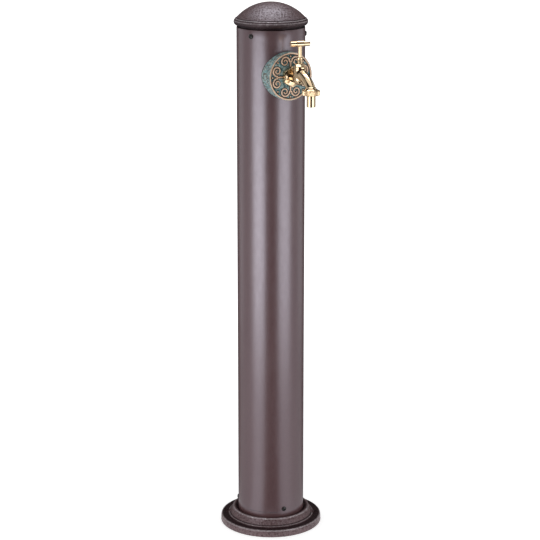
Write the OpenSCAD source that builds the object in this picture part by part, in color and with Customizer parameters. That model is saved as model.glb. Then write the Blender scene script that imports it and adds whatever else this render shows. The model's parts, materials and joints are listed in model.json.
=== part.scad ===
// Garden standpipe: a round column on a cast base, with a domed cap, a scroll rosette and a bib tap.
// Millimetres. The ground is z = 0, the column stands on the Z axis and the tap faces -Y.
// Angles round the column are counted from the tap, anticlockwise seen from above.

/* [Column] */
// Outside diameter of the column tube
tube_d = 125; // [110:0.5:150]
// Wall of the column tube
tube_wall = 1.5; // [1:0.1:3]
// Length of the column tube
tube_length = 935; // [400:1:1400]

/* [Base] */
// Thickness of the base plate
base_thick = 13.5; // [10:0.5:20]
// Width of the flat ledge outside the collar
ledge_w = 15.3; // [14:0.1:40]
// Chamfer on the base plate's lower edge
base_chamfer = 0.8; // [0.3:0.1:2]
// Draft of the base plate's edge
base_draft = 0.7; // [0.2:0.1:2]
// Rounding of the base plate's upper edge
base_edge_r = 4; // [1:0.5:6]
// How far the collar's foot stands out from the tube
collar_spread = 18.7; // [16:0.1:30]
// How far the collar's crest stands out from the tube
collar_crest = 8.5; // [6:0.1:11]
// Height of the collar's crest above the base plate
collar_rise = 15; // [11:0.5:25]
// Height of the small lip round the collar's foot
collar_lip = 2.2; // [1:0.1:4]
// Radial gap between the tube and the groove in the collar
groove_gap = 1.2; // [0.4:0.1:3]
// Height of the tube's seat above the base plate
seat_rise = 6.5; // [3:0.5:9]
// Diameter of the opening for the water supply in the base plate
supply_opening_d = 60; // [48:1:90]
// Diameter of the anchor holes
anchor_hole_d = 8; // [5:0.5:10]
// Diameter of the spot face round each anchor hole
anchor_face_d = 14; // [11:0.5:18]
// Depth of the spot faces in the base plate
anchor_face_depth = 0.5; // [0.2:0.1:2]
// How far the anchor holes lie outside the collar's foot
anchor_out = 2.3; // [0:0.1:6]
// Angle of the first anchor hole from the tap
anchor_turn = 60; // [0:1:180]

/* [Cap] */
// Shadow gap between the tube's end and the cap's bead
cap_gap = 2.8; // [1:0.1:5]
// Radius of the cap's half-round bead
bead_r = 7.2; // [5:0.1:10]
// How far the bead stands out from the tube
bead_out = 5.1; // [3:0.1:7]
// Height of the dome's foot above the middle of the bead
dome_foot_above = 7; // [4:0.1:7]
// How far the foot of the dome stands out from the tube
dome_foot_out = -0.1; // [-4:0.1:2.5]
// Height of the dome above its foot
dome_rise = 27.8; // [15:0.1:50]
// Wall of the cap's dome
cap_wall = 5; // [3:0.5:8]

/* [Spigots and screws] */
// Radial gap between a spigot and the tube
spigot_gap = 0.25; // [0.1:0.05:0.8]
// Wall of the base's and the cap's spigots
spigot_wall = 5; // [4:0.5:9]
// Chamfer on the base spigot's upper edge
spigot_chamfer = 1; // [0.5:0.1:2]
// How far each spigot reaches past its screws
spigot_past = 15; // [8:1:30]
// Distance of the base screws from the tube's lower end
base_screw_rise = 22.5; // [16:0.5:40]
// Distance of the cap screws from the tube's upper end
cap_screw_drop = 11.5; // [8:0.5:30]
// Angle of the first base screw from the tap
base_screw_turn = -5; // [-60:1:60]
// Angle of the first cap screw from the tap
cap_screw_turn = -63; // [-100:1:-30]
// Number of screws at each end of the tube
screw_count = 3; // [2:1:4]
// Thread diameter of the screws
screw_d = 5; // [4:0.5:6]
// Length of the screws under the head
screw_length = 10; // [8:0.5:16]
// Diameter of the screw heads
screw_head_d = 9; // [8:0.1:11]
// Height of the screw heads
screw_head_h = 2.6; // [2:0.1:4]
// Radius of the crown on the screw heads
screw_crown_r = 6.5; // [5.6:0.1:12]
// Length of each arm of the cross recess, tip to tip
recess_length = 5; // [3:0.1:6]
// Width of the cross recess
recess_width = 1.3; // [0.8:0.1:1.8]
// Depth of the cross recess
recess_depth = 1.5; // [0.8:0.1:2]
// Radial gap of a screw in its clearance hole
screw_gap = 0.25; // [0.1:0.05:0.5]
// Radial gap of a plain cylinder that stands for a thread
thread_gap = 0.05; // [0.02:0.01:0.1]

/* [Rosette] */
// Diameter of the rosette
rosette_d = 87; // [80:0.5:110]
// Distance of the rosette's face from the front of the tube
rosette_stand = 12.4; // [9:0.1:25]
// Thickness of the rosette's face plate
rosette_plate = 4.5; // [3.5:0.1:7]
// Wall of the rosette's skirt
rosette_wall = 3; // [2:0.1:6]
// Width of the raised rim
rosette_rim = 3.4; // [1.5:0.1:5]
// How far the raised hub stays inside the tap's hexagon
hub_inset = 1; // [0.5:0.1:3]
// Depth of the field inside the rim
field_depth = 1.5; // [0.8:0.1:2]
// Height of the scrolls above the field
scroll_height = 1.2; // [0.5:0.1:2]
// Width of the scrolls' ribs
scroll_width = 2.2; // [1:0.1:2.6]
// Radius of a scroll's outer turn
scroll_r = 9.4; // [6:0.1:10]
// Turns in a scroll
scroll_turns = 1.5; // [1:0.05:1.8]
// Pairs of scrolls round the rosette
scroll_pairs = 4; // [3:1:4]
// Distance of the scrolls' centres from the rim
scroll_inset = 12.1; // [10:0.1:16]
// Radius of the buds between the scrolls
bud_r = 1.5; // [0.8:0.1:2.2]
// Distance of the buds' centres from the rim
bud_inset = 4; // [2:0.1:6]
// Length of the leaf between two scrolls
leaf_length = 12; // [6:0.5:14]
// Width of the leaf between two scrolls
leaf_width = 3.6; // [2:0.1:5]
// Gap between the rosette or the saddle washer and the tube they sit on
saddle_gap = 0.1; // [0.05:0.05:0.3]

/* [Tap body] */
// Distance of the tap's inlet below the tube's upper end
tap_drop = 81; // [70:1:300]
// Size of the big hexagon across flats
hex_af = 33; // [30:0.5:46]
// Thickness of the big hexagon
hex_thick = 9.5; // [7:0.5:16]
// Diameter of the neck where it leaves the hexagon
neck_d = 25; // [20:0.5:28]
// Diameter of the neck where it meets the chamber
neck_end_d = 17; // [14:0.5:22]
// Length of the neck between the hexagon and the chamber
neck_length = 11.6; // [6:0.2:20]
// Outside diameter of the valve chamber
chamber_d = 24; // [23:0.2:32]
// Height of the chamber's rim above the inlet
chamber_above = 19; // [17:0.2:26]
// Depth of the chamber's round bottom below the inlet
chamber_below = 11; // [9.5:0.2:14]
// Bore of the chamber above the seat
chamber_bore = 19.2; // [17:0.2:20]
// Height of the valve seat above the inlet
seat_above = 5.5; // [5:0.1:8]
// Thickness of the seat
seat_thick = 2.5; // [1.5:0.1:3]
// Diameter of the hole in the seat
seat_bore = 10; // [9:0.2:12]
// How far the room under the seat is wider than the seat's hole, each side
seat_ledge = 1; // [0.5:0.1:2]
// Bore of the inlet passage
inlet_bore = 8; // [6:0.2:9]
// Depth of the threaded socket in the hexagon
socket_depth = 9; // [7:0.5:12]
// Diameter of the spout where it leaves the chamber
spout_d = 14.6; // [12:0.2:16]
// Diameter of the spout at its lower end
spout_end_d = 11.8; // [10:0.2:14]
// Bore of the spout
spout_bore = 8.2; // [6:0.2:9]
// Distance from the chamber to the outlet
outlet_out = 40.6; // [32:0.2:70]
// Distance of the outlet's skirt below the inlet
outlet_drop = 14; // [10:0.5:40]
// Height of the flared skirt above the outlet
skirt_h = 5; // [3:0.5:8]
// Depth of the spout's middle line below the chamber's rim, on the chamber's axis
spout_below = 2; // [0:0.1:5]
// Distance of the spout's bend from the outlet's axis
bend_back = 11.1; // [6:0.1:16]
// Height of the spout's bend above the skirt's foot
bend_above = 13.5; // [9:0.1:20]
// Taper of the spout's radius before the bend
bend_taper = 0.3; // [0.1:0.05:1]

/* [Tap top] */
// Thickness of the washer under the bonnet
bonnet_washer_t = 0.8; // [0.5:0.1:2]
// Diameter of the bonnet's flange
bonnet_flange_d = 24.6; // [22:0.2:34]
// Thickness of the bonnet's flange
bonnet_flange_t = 2.7; // [2:0.1:5]
// Size of the bonnet's hexagon across flats
bonnet_hex_af = 15.5; // [14:0.5:22]
// Height of the bonnet's hexagon
bonnet_hex_h = 5.5; // [4.5:0.1:10]
// Angle of the bonnet's hexagon
bonnet_turn = 40; // [0:1:60]
// Length of the bonnet's thread inside the chamber
bonnet_thread = 5; // [3:0.1:5.2]
// Diameter of the stuffing box round the spindle
stuffing_d = 9.8; // [9.4:0.1:11]
// Thickness of the ledge under the gland packing
ledge_t = 1; // [0.6:0.1:2]
// Height of the gland packing
packing_h = 2.4; // [1.5:0.1:3]
// Diameter of the gland nut's neck
gland_d = 10.2; // [10:0.1:14]
// Height of the gland nut's neck
gland_h = 8; // [5:0.1:14]
// Diameter of the ring on top of the gland nut
gland_ring_d = 11.4; // [10.6:0.1:15]
// Height of the ring on top of the gland nut
gland_ring_h = 3; // [1.5:0.1:5]
// Diameter of the spindle
spindle_d = 7.2; // [6:0.1:7.8]
// Diameter of the spindle's thread
spindle_thread_d = 10; // [9:0.1:11]
// Length of spindle that shows under the handle
spindle_show = 19.4; // [10:0.2:40]
// Diameter of the spindle's tenon inside the handle
tenon_d = 5; // [4:0.1:5.6]
// Height of the spindle's tenon
tenon_h = 6.5; // [4:0.1:8]
// Lift of the valve from shut to fully open
valve_lift = 3; // [1:0.1:3.2]
// Room left above the spindle's thread when the tap is fully open
lift_room = 1; // [0.3:0.1:3]
// Radial gap between the spindle and what it turns in
running_gap = 0.05; // [0.02:0.01:0.1]
// Length of the T-handle
handle_length = 36; // [28:0.5:60]
// Diameter of the T-handle's arms
handle_d = 9.2; // [7:0.1:10.6]
// Diameter of the T-handle's middle
boss_d = 11; // [10.8:0.1:15]
// Depth of the spindle's shoulder inside the T-handle
handle_seat = 1.2; // [0.8:0.1:2]
// Length of the T-handle's middle
boss_length = 13; // [11:0.5:20]
// Angle of the T-handle when the tap is shut
handle_turn = -11; // [-90:1:90]

/* [Valve] */
// Diameter of the jumper's plate
jumper_d = 15.6; // [14:0.2:16]
// Thickness of the jumper's plate
jumper_t = 2; // [1.5:0.1:2.4]
// Diameter of the jumper's stem
stem_d = 4.8; // [3.6:0.1:6]
// Length of the jumper's stem in the spindle
stem_length = 6.4; // [4:0.1:7]
// Diameter of the rubber washer on the jumper
seal_d = 15; // [13:0.2:15.6]
// Thickness of the rubber washer on the jumper
seal_t = 3; // [2:0.1:3.4]
// Diameter of the stud that carries the washer
stud_d = 3; // [2.5:0.1:3.5]
// Size of the jumper's nut across flats
jumper_nut_af = 6; // [5:0.1:7]
// Height of the jumper's nut
jumper_nut_h = 2; // [1.5:0.1:2.4]

/* [Outlet] */
// Diameter of the thread on the tap's outlet
outlet_thread_d = 26.2; // [22:0.2:27]
// Outside diameter of the union nut
union_d = 32; // [30:0.5:40]
// Height of the union nut
union_h = 8.5; // [7.5:0.1:14]
// Thickness of the union nut's inner lip
union_lip = 1.6; // [1:0.1:2.5]
// Number of grooves round the union nut
knurl_count = 60; // [24:1:72]
// Depth of the grooves round the union nut
knurl_depth = 0.5; // [0.2:0.1:0.8]
// Gap between the union nut and the tap's skirt
union_gap = 0.3; // [0.2:0.1:1]
// Thickness of the flange on the hose tail
tail_flange_t = 1.4; // [1:0.1:3]
// Thickness of the washer above the hose tail
hose_washer_t = 1.4; // [1:0.1:3]
// Outside diameter of the hose tail
tail_d = 16; // [13:0.2:18]
// Step in the hose tail's radius where the hose stops
tail_step = 0.3; // [0.1:0.1:1]
// How far the hose tail's step shows below the union nut
step_show = 0.5; // [0.3:0.1:2]
// Bore of the hose tail
tail_bore = 11.4; // [8:0.2:11.8]
// Length of the hose tail below the union nut
tail_length = 21; // [15:0.5:40]
// Radial gap between the hose tail and the union nut
tail_gap = 0.1; // [0.05:0.01:0.1]

/* [Pipework] */
// Outside diameter of the pipe thread and the riser
pipe_d = 21; // [19:0.5:22]
// Bore of the riser and the wall nipple
pipe_bore = 15; // [12:0.5:16]
// Radial gap of the wall nipple in the tube and the rosette
nipple_gap = 0.5; // [0.2:0.1:1]
// Radial room round the flat washers and the hose tail's flange
washer_room = 0.6; // [0.3:0.1:1]
// Thickness of the washer in the tap's socket
inlet_washer_t = 1.2; // [0.8:0.1:2]
// Diameter of the saddle washer inside the tube
saddle_d = 40; // [36:0.5:50]
// Thickness of the saddle washer on its middle line
saddle_t = 7; // [6:0.2:12]
// Size of the lock nut across flats
lock_nut_af = 30; // [28:0.5:36]
// Height of the lock nut
lock_nut_h = 7; // [4:0.5:8]
// Distance from the elbow's corner to its mouths
elbow_leg = 34; // [30:0.5:38]
// Depth of the elbow's and the coupling's sockets
pipe_socket = 14; // [10:0.5:15]
// Wall of the elbow
elbow_wall = 3.4; // [2.5:0.1:5]
// Width of the beads round the elbow's mouths
elbow_bead_w = 6; // [4:0.5:10]
// Height of the beads round the elbow's mouths
elbow_bead_h = 2; // [1:0.1:3]
// Thickness of the disc that centres the riser
guide_t = 4; // [3:0.5:8]
// Radial gap of the guide disc in the spigot and round the coupling
guide_gap = 0.2; // [0.1:0.05:0.5]
// Outside diameter of the supply coupling
coupling_d = 30; // [28:0.5:36]
// Diameter of the flange on the supply coupling
coupling_flange_d = 38; // [36:0.5:46]
// Thickness of the flange on the supply coupling
coupling_flange_t = 3; // [2:0.5:6]
// Length of the supply coupling below its flange
coupling_below = 9; // [4:0.5:12]
// Bore of the supply coupling's threaded hole
supply_bore = 18.6; // [16:0.1:19]
// Thickness of the ledge between the coupling's two sockets
coupling_ledge = 2.5; // [2:0.5:6]

/* [Hidden] */
$fn = 96;
// Cutting solids run past the faces that they open by this much
over = 1;
// Added solids sink into what carries them by this much
root = 0.4;
// A ball at a bend is larger than the rods that meet in it by this much
bend_proud = 0.1;
// Steps along the edge of a scroll
scroll_steps = 26;
// Radius of a hexagon's corners for one millimetre across flats
hex_corner = 0.5 / cos(30);

tube_r = tube_d / 2;
tube_ri = tube_r - tube_wall;
tube_z0 = base_thick + seat_rise;
tube_z1 = tube_z0 + tube_length;
spigot_r = tube_ri - spigot_gap;
spigot_ri = spigot_r - spigot_wall;
base_screw_z = tube_z0 + base_screw_rise;
cap_screw_z = tube_z1 - cap_screw_drop;

foot_r = tube_r + collar_spread;
crest_r = tube_r + collar_crest;
base_r = foot_r + ledge_w;
anchor_r = foot_r + anchor_out;

bead_z = tube_z1 + cap_gap + bead_r;
bead_c = tube_r + bead_out - bead_r;
dome_foot_z = bead_z + dome_foot_above;
dome_foot_r = tube_r + dome_foot_out;
dome_r = (dome_foot_r * dome_foot_r + dome_rise * dome_rise) / (2 * dome_rise);
apex_z = dome_foot_z + dome_rise;

inlet_z = tube_z1 - tap_drop;
face_reach = tube_r + rosette_stand;
rosette_r = rosette_d / 2;
field_r = rosette_r - rosette_rim;
scroll_ring_r = field_r - scroll_inset;
bud_ring_r = field_r - bud_inset;
hub_r = hex_af / 2 - hub_inset;

hex_front = face_reach + hex_thick;
chamber_r = chamber_d / 2;
chamber_reach = hex_front + neck_length + chamber_r;
chamber_z = inlet_z + chamber_above;
bulb_z = inlet_z - chamber_below + chamber_r;
seat_z = inlet_z + seat_above;
seat_floor_z = seat_z - seat_thick;
passage_z = seat_floor_z - inlet_bore / 2 - root;
outlet_reach = chamber_reach + outlet_out;
skirt_z = inlet_z - outlet_drop;
skirt_r = outlet_thread_d / 2;
spout_start = [chamber_reach, chamber_z - spout_below];
spout_bend = [outlet_reach - bend_back, skirt_z + bend_above];
spout_finish = [outlet_reach, skirt_z + over];

flange_z = chamber_z + bonnet_washer_t;
hex_z = flange_z + bonnet_flange_t;
gland_z = hex_z + bonnet_hex_h;
gland_ring_z = gland_z + gland_h;
gland_top_z = gland_ring_z + gland_ring_h;
bonnet_foot_z = chamber_z - bonnet_thread;
seal_z = seat_z;
plate_z = seal_z + seal_t;
spindle_z = plate_z + jumper_t;
thread_top_z = hex_z - lift_room - valve_lift;
stuffing_z = hex_z + ledge_t;
packing_z = stuffing_z + packing_h;
spindle_top_z = gland_top_z + spindle_show;
handle_z = spindle_top_z + boss_d / 2 - handle_seat;

union_z1 = skirt_z - union_gap;
union_z0 = union_z1 - union_h;
tail_flange_z = union_z0 + union_lip;
hose_washer_z = tail_flange_z + tail_flange_t;
stub_z = hose_washer_z + hose_washer_t;
tail_z = union_z0 - tail_length;
tail_flange_r = skirt_r - washer_room;

pipe_r = pipe_d / 2;
nipple_tip = face_reach + socket_depth - inlet_washer_t;
saddle_flat = tube_ri - saddle_t;
elbow_r = pipe_r + elbow_wall;
socket_end = elbow_leg - pipe_socket;
guide_z = base_thick;
coupling_flange_z = guide_z + guide_t;
coupling_z = coupling_flange_z - coupling_below;
supply_top_z = coupling_z + pipe_socket;
riser_z0 = supply_top_z + coupling_ledge;
riser_z1 = inlet_z - socket_end - root;
coupling_top_z = riser_z0 + pipe_socket;

// Points on an arc about a centre, from one angle to another
function arc(centre, radius, from, to, steps = 8) =
    [for (i = [0:steps]) let (a = from + (to - from) * i / steps)
        centre + radius * [cos(a), sin(a)]];

// Points on an S-shaped rise between two points of a profile
function ogee(low, high, steps = 10) =
    [for (i = [1:steps - 1]) let (t = i / steps)
        [low[0] + (high[0] - low[0]) * t, low[1] + (high[1] - low[1]) * (1 - cos(180 * t)) / 2]];

// Points on one edge of a scroll, offset sideways from its middle line
function scroll_edge(side) =
    [for (i = [0:scroll_steps]) let (t = i / scroll_steps, a = 360 * scroll_turns * t,
        middle = (scroll_r - scroll_width / 2) * (1 - t) + scroll_width * t)
        (middle + side * scroll_width / 2) * [cos(a), sin(a)]];

// Lays what is drawn along +Z along the tap's direction, from a reach and a height
module along_tap(reach, z) translate([0, -reach, z]) rotate([90, 0, 0]) children();

// Copies what is drawn at the front of the column round it
module round_column(count, turn) for (i = [0:count - 1]) rotate([0, 0, turn + 360 * i / count]) children();

// A tapering rod between two points given as reach and height
module rod(from, to, r1, r2) {
    step = to - from;
    translate([0, -from[0], from[1]])
        rotate([atan2(step[0], step[1]), 0, 0])
            cylinder(h = norm(step), r1 = r1, r2 = r2);
}

module ball(at, r) translate([0, -at[0], at[1]]) sphere(r);

module at_chamber(z) translate([0, -chamber_reach, z]) children();

module at_outlet(z) translate([0, -outlet_reach, z]) children();

module hexagon(af, h) cylinder(h = h, r = af * hex_corner, $fn = 6);

module ring(r, bore, h) difference() {
    cylinder(h = h, r = r);
    translate([0, 0, -over]) cylinder(h = h + 2 * over, r = bore);
}

module base_profile() {
    plate_top = base_thick;
    crest_z = plate_top + collar_rise;
    lip_z = plate_top + collar_lip;
    lip_in = foot_r - collar_lip;
    crest_round = collar_crest / 4;
    spigot_z = base_screw_z + spigot_past;
    polygon(concat(
        [[supply_opening_d / 2, 0], [base_r - base_chamfer, 0], [base_r, base_chamfer]],
        arc([base_r - base_edge_r - base_draft, plate_top - base_edge_r], base_edge_r, 0, 90),
        [[foot_r, plate_top]],
        arc([lip_in + collar_lip / 2, lip_z - collar_lip / 2], collar_lip / 2, 0, 90, 4),
        ogee([lip_in, lip_z - collar_lip / 4], [crest_r + crest_round, crest_z - crest_round / 8]),
        arc([crest_r, crest_z - crest_round], crest_round, 75, 165, 6),
        [[tube_r + groove_gap, tube_z0 + over], [tube_r + groove_gap, tube_z0], [spigot_r, tube_z0]],
        [[spigot_r, spigot_z - spigot_chamfer], [spigot_r - spigot_chamfer, spigot_z]],
        [[spigot_ri, spigot_z], [spigot_ri, plate_top]],
        [[supply_opening_d / 2, plate_top]]));
}

module base_flange() color("#5b4a4a") difference() {
    rotate_extrude() base_profile();
    round_column(screw_count, base_screw_turn) screw_thread(base_screw_z);
    round_column(2, anchor_turn) translate([0, -anchor_r, 0]) {
        translate([0, 0, -over]) cylinder(h = base_thick + 2 * over, d = anchor_hole_d);
        translate([0, 0, base_thick - anchor_face_depth]) cylinder(h = collar_rise, d = anchor_face_d);
    }
}

module column_tube() color("#64585a") difference() {
    translate([0, 0, tube_z0]) cylinder(h = tube_length, r = tube_r);
    translate([0, 0, tube_z0 - over]) cylinder(h = tube_length + 2 * over, r = tube_ri);
    round_column(screw_count, base_screw_turn) screw_hole(base_screw_z);
    round_column(screw_count, cap_screw_turn) screw_hole(cap_screw_z);
    along_tap(tube_ri - saddle_t, inlet_z) cylinder(h = saddle_t + tube_wall + over, r = pipe_r + nipple_gap);
}

// Clearance hole for a screw in the tube
module screw_hole(z) along_tap(tube_ri - over, z)
    cylinder(h = tube_wall + 2 * over, r = screw_d / 2 + screw_gap);

// Threaded hole for a screw in a spigot
module screw_thread(z) along_tap(spigot_ri - over, z)
    cylinder(h = spigot_wall + 2 * over, r = screw_d / 2 + thread_gap);

module cap_profile() difference() {
    union() {
        intersection() {
            translate([0, apex_z - dome_r]) circle(dome_r);
            translate([0, bead_z + bead_r / 2]) square([2 * tube_r, apex_z]);
        }
        translate([bead_c, bead_z]) circle(bead_r);
        translate([0, tube_z1]) square([tube_r - tube_wall / 2, dome_foot_z - tube_z1]);
        translate([0, cap_screw_z - spigot_past]) square([spigot_r, cap_screw_drop + spigot_past + root]);
    }
    intersection() {
        translate([0, apex_z - dome_r]) circle(dome_r - cap_wall);
        translate([0, cap_screw_z - spigot_past - over]) square([spigot_ri, apex_z]);
    }
}

module dome_cap() color("#5f5254") difference() {
    rotate_extrude() cap_profile();
    round_column(screw_count, cap_screw_turn) screw_thread(cap_screw_z);
}

// A pan-head screw with its seat at z = 0
module screw() difference() {
    union() {
        intersection() {
            cylinder(h = screw_head_h, d = screw_head_d);
            translate([0, 0, screw_head_h - screw_crown_r]) sphere(screw_crown_r);
        }
        translate([0, 0, -screw_length]) cylinder(h = screw_length + root, d = screw_d);
    }
    for (turn = [45, 135]) rotate([0, 0, turn])
        translate([-recess_length / 2, -recess_width / 2, screw_head_h - recess_depth])
            cube([recess_length, recess_width, recess_depth + over]);
}

module base_screws() color("#2f2a2b") round_column(screw_count, base_screw_turn)
    along_tap(tube_r, base_screw_z) screw();

module cap_screws() color("#2f2a2b") round_column(screw_count, cap_screw_turn)
    along_tap(tube_r, cap_screw_z) screw();

module scroll_outline() polygon(concat(
    scroll_edge(1), [for (i = [scroll_steps:-1:0]) scroll_edge(-1)[i]]));

module scroll_pair() {
    half = 90 / scroll_pairs;
    for (side = [0, 1]) mirror([0, side])
        rotate(half) translate([scroll_ring_r, 0]) rotate(-90 - half) scroll_outline();
    leaf();
    for (turn = [0, 2 * half]) rotate(turn) translate([bud_ring_r, 0]) circle(bud_r);
}

// A pointed leaf from the hub between a pair of scrolls
module leaf() {
    bow = (leaf_length * leaf_length / leaf_width + leaf_width) / 4;
    translate([hub_r + leaf_length / 2 - root, 0]) intersection() {
        translate([0, bow - leaf_width / 2]) circle(bow);
        translate([0, leaf_width / 2 - bow]) circle(bow);
    }
}

module rosette() color("#6f9a98") {
    field_z = face_reach - field_depth;
    difference() {
        along_tap(0, inlet_z) union() {
            cylinder(h = face_reach - over, r = rosette_r);
            translate([0, 0, face_reach - over]) cylinder(h = over, r1 = rosette_r, r2 = rosette_r - over);
        }
        along_tap(-over, inlet_z)
            cylinder(h = face_reach - rosette_plate + over, r = rosette_r - rosette_wall);
        along_tap(field_z, inlet_z) ring(field_r, hub_r, field_depth + over);
        along_tap(0, inlet_z) cylinder(h = face_reach + over, r = pipe_r + nipple_gap);
        translate([0, 0, inlet_z - rosette_d]) cylinder(h = 2 * rosette_d, r = tube_r + saddle_gap);
    }
    along_tap(field_z - root, inlet_z) linear_extrude(root + scroll_height)
        for (i = [0:scroll_pairs - 1]) rotate(90 + 360 * i / scroll_pairs) scroll_pair();
}

module skirt_profile() polygon(concat(
    [[0, stub_z], [skirt_r, stub_z], [skirt_r, skirt_z]],
    [for (i = [1:8]) let (a = 90 * i / 8)
        [skirt_r - (skirt_r - spout_end_d / 2) * sin(a), skirt_z + skirt_h * (1 - cos(a))]],
    [[0, skirt_z + skirt_h]]));

module tap_shell() {
    along_tap(face_reach, inlet_z) intersection() {
        rotate([0, 0, 30]) hexagon(hex_af, hex_thick);
        cylinder(h = hex_thick, r1 = hex_af * hex_corner + hex_thick, r2 = hex_af / 2 + over / 2);
    }
    along_tap(hex_front - root, inlet_z)
        cylinder(h = neck_length + chamber_r, r1 = neck_d / 2, r2 = neck_end_d / 2);
    at_chamber(0) rotate_extrude() polygon(concat(
        arc([0, bulb_z], chamber_r, -90, 0, 16), [[chamber_r, chamber_z], [0, chamber_z]]));
    rod(spout_start, spout_bend, spout_d / 2, spout_d / 2 - bend_taper);
    ball(spout_bend, spout_d / 2);
    rod(spout_bend, spout_finish, spout_d / 2 - bend_taper, spout_end_d / 2);
    at_outlet(0) rotate_extrude() skirt_profile();
}

module tap_body() color("#d9b56a") difference() {
    tap_shell();
    at_chamber(chamber_z) cylinder(h = spout_d, r = chamber_d);
    along_tap(face_reach - over, inlet_z) cylinder(h = socket_depth + over, r = pipe_r + thread_gap);
    along_tap(face_reach, passage_z) cylinder(h = chamber_reach - face_reach, d = inlet_bore);
    at_chamber(passage_z - inlet_bore / 2 - root)
        cylinder(h = inlet_bore + 2 * root, r = seat_bore / 2 + seat_ledge);
    at_chamber(passage_z) cylinder(h = seat_z - passage_z + over, d = seat_bore);
    at_chamber(seat_z) cylinder(h = chamber_z - seat_z + over, d = chamber_bore);
    rod(spout_start, spout_bend, spout_bore / 2, spout_bore / 2);
    ball(spout_bend, spout_bore / 2 + bend_proud);
    rod(spout_bend, spout_finish, spout_bore / 2, spout_bore / 2);
    at_outlet(stub_z - over) cylinder(h = spout_finish[1] - stub_z + 2 * over, d = tail_bore);
}

module inlet_washer() color("#8c3b2e") along_tap(nipple_tip, inlet_z)
    ring(pipe_r - washer_room, pipe_bore / 2, inlet_washer_t);

module wall_nipple() color("#caa455") along_tap(socket_end, inlet_z)
    ring(pipe_r, pipe_bore / 2, nipple_tip - socket_end);

module saddle_washer() color("#26282a") difference() {
    intersection() {
        along_tap(saddle_flat, inlet_z) cylinder(h = saddle_t + over, d = saddle_d);
        translate([0, 0, inlet_z - saddle_d]) cylinder(h = 2 * saddle_d, r = tube_ri - saddle_gap);
    }
    along_tap(saddle_flat - over, inlet_z) cylinder(h = saddle_t + 2 * over, r = pipe_r + nipple_gap);
}

module lock_nut() color("#caa455") along_tap(saddle_flat - lock_nut_h, inlet_z) difference() {
    rotate([0, 0, 30]) hexagon(lock_nut_af, lock_nut_h);
    translate([0, 0, -over]) cylinder(h = lock_nut_h + 2 * over, r = pipe_r + thread_gap);
}

module elbow_leg_shape() {
    cylinder(h = elbow_leg, r = elbow_r);
    translate([0, 0, elbow_leg - elbow_bead_w]) cylinder(h = elbow_bead_w, r = elbow_r + elbow_bead_h);
}

module elbow_leg_bore() {
    cylinder(h = elbow_leg, d = pipe_bore);
    translate([0, 0, socket_end]) cylinder(h = pipe_socket + over, r = pipe_r + thread_gap);
}

module elbow() color("#b9b4aa") translate([0, 0, inlet_z]) difference() {
    union() {
        along_tap(0, 0) elbow_leg_shape();
        mirror([0, 0, 1]) elbow_leg_shape();
        sphere(elbow_r + bend_proud);
    }
    along_tap(0, 0) elbow_leg_bore();
    mirror([0, 0, 1]) elbow_leg_bore();
    sphere(pipe_bore / 2 + bend_proud);
}

module riser_pipe() color("#a9adb0") translate([0, 0, riser_z0])
    ring(pipe_r, pipe_bore / 2, riser_z1 - riser_z0);

module supply_coupling() color("#c9a553") difference() {
    union() {
        translate([0, 0, coupling_z]) cylinder(h = coupling_top_z - coupling_z, d = coupling_d);
        translate([0, 0, coupling_flange_z]) cylinder(h = coupling_flange_t, d = coupling_flange_d);
    }
    translate([0, 0, coupling_z - over]) cylinder(h = supply_top_z - coupling_z + over, d = supply_bore);
    translate([0, 0, coupling_z]) cylinder(h = coupling_top_z - coupling_z, d = pipe_bore);
    translate([0, 0, riser_z0]) cylinder(h = pipe_socket + over, r = pipe_r + thread_gap);
}

module riser_guide() color("#34373a") translate([0, 0, guide_z])
    ring(spigot_ri - guide_gap, coupling_d / 2 + guide_gap, guide_t);

module bonnet_washer() color("#8c3b2e") at_chamber(chamber_z)
    ring(chamber_r - washer_room, chamber_bore / 2, bonnet_washer_t);

module bonnet() color("#d9b56a") difference() {
    union() {
        at_chamber(bonnet_foot_z)
            cylinder(h = flange_z - bonnet_foot_z + root, r = chamber_bore / 2 - thread_gap);
        at_chamber(flange_z) cylinder(h = bonnet_flange_t, d = bonnet_flange_d);
        at_chamber(hex_z - root) rotate([0, 0, bonnet_turn]) hexagon(bonnet_hex_af, bonnet_hex_h + root);
    }
    at_chamber(bonnet_foot_z - over)
        cylinder(h = hex_z - bonnet_foot_z + over, r = spindle_thread_d / 2 + running_gap);
    at_chamber(hex_z - over) cylinder(h = bonnet_hex_h + 2 * over, r = spindle_d / 2 + running_gap);
    at_chamber(stuffing_z) cylinder(h = bonnet_hex_h + over, d = stuffing_d);
}

module gland_packing() color("#2b2b2d") at_chamber(stuffing_z)
    ring(stuffing_d / 2 - thread_gap, spindle_d / 2 + running_gap, packing_h);

module gland_nut() color("#d9b56a") difference() {
    union() {
        at_chamber(packing_z) cylinder(h = gland_z - packing_z + root, r = stuffing_d / 2 - thread_gap);
        at_chamber(gland_z) cylinder(h = gland_h + root, d = gland_d);
        at_chamber(gland_ring_z) cylinder(h = gland_ring_h, d = gland_ring_d);
    }
    at_chamber(packing_z - over)
        cylinder(h = gland_top_z - packing_z + 2 * over, r = spindle_d / 2 + running_gap);
}

module spindle() color("#d4b068") difference() {
    union() {
        at_chamber(spindle_z) cylinder(h = thread_top_z - spindle_z, d = spindle_thread_d);
        at_chamber(spindle_z) cylinder(h = spindle_top_z - spindle_z, d = spindle_d);
        at_chamber(spindle_top_z - root) cylinder(h = tenon_h + root, d = tenon_d);
    }
    at_chamber(spindle_z - over) cylinder(h = stem_length + 2 * over, r = stem_d / 2 + running_gap);
}

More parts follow.
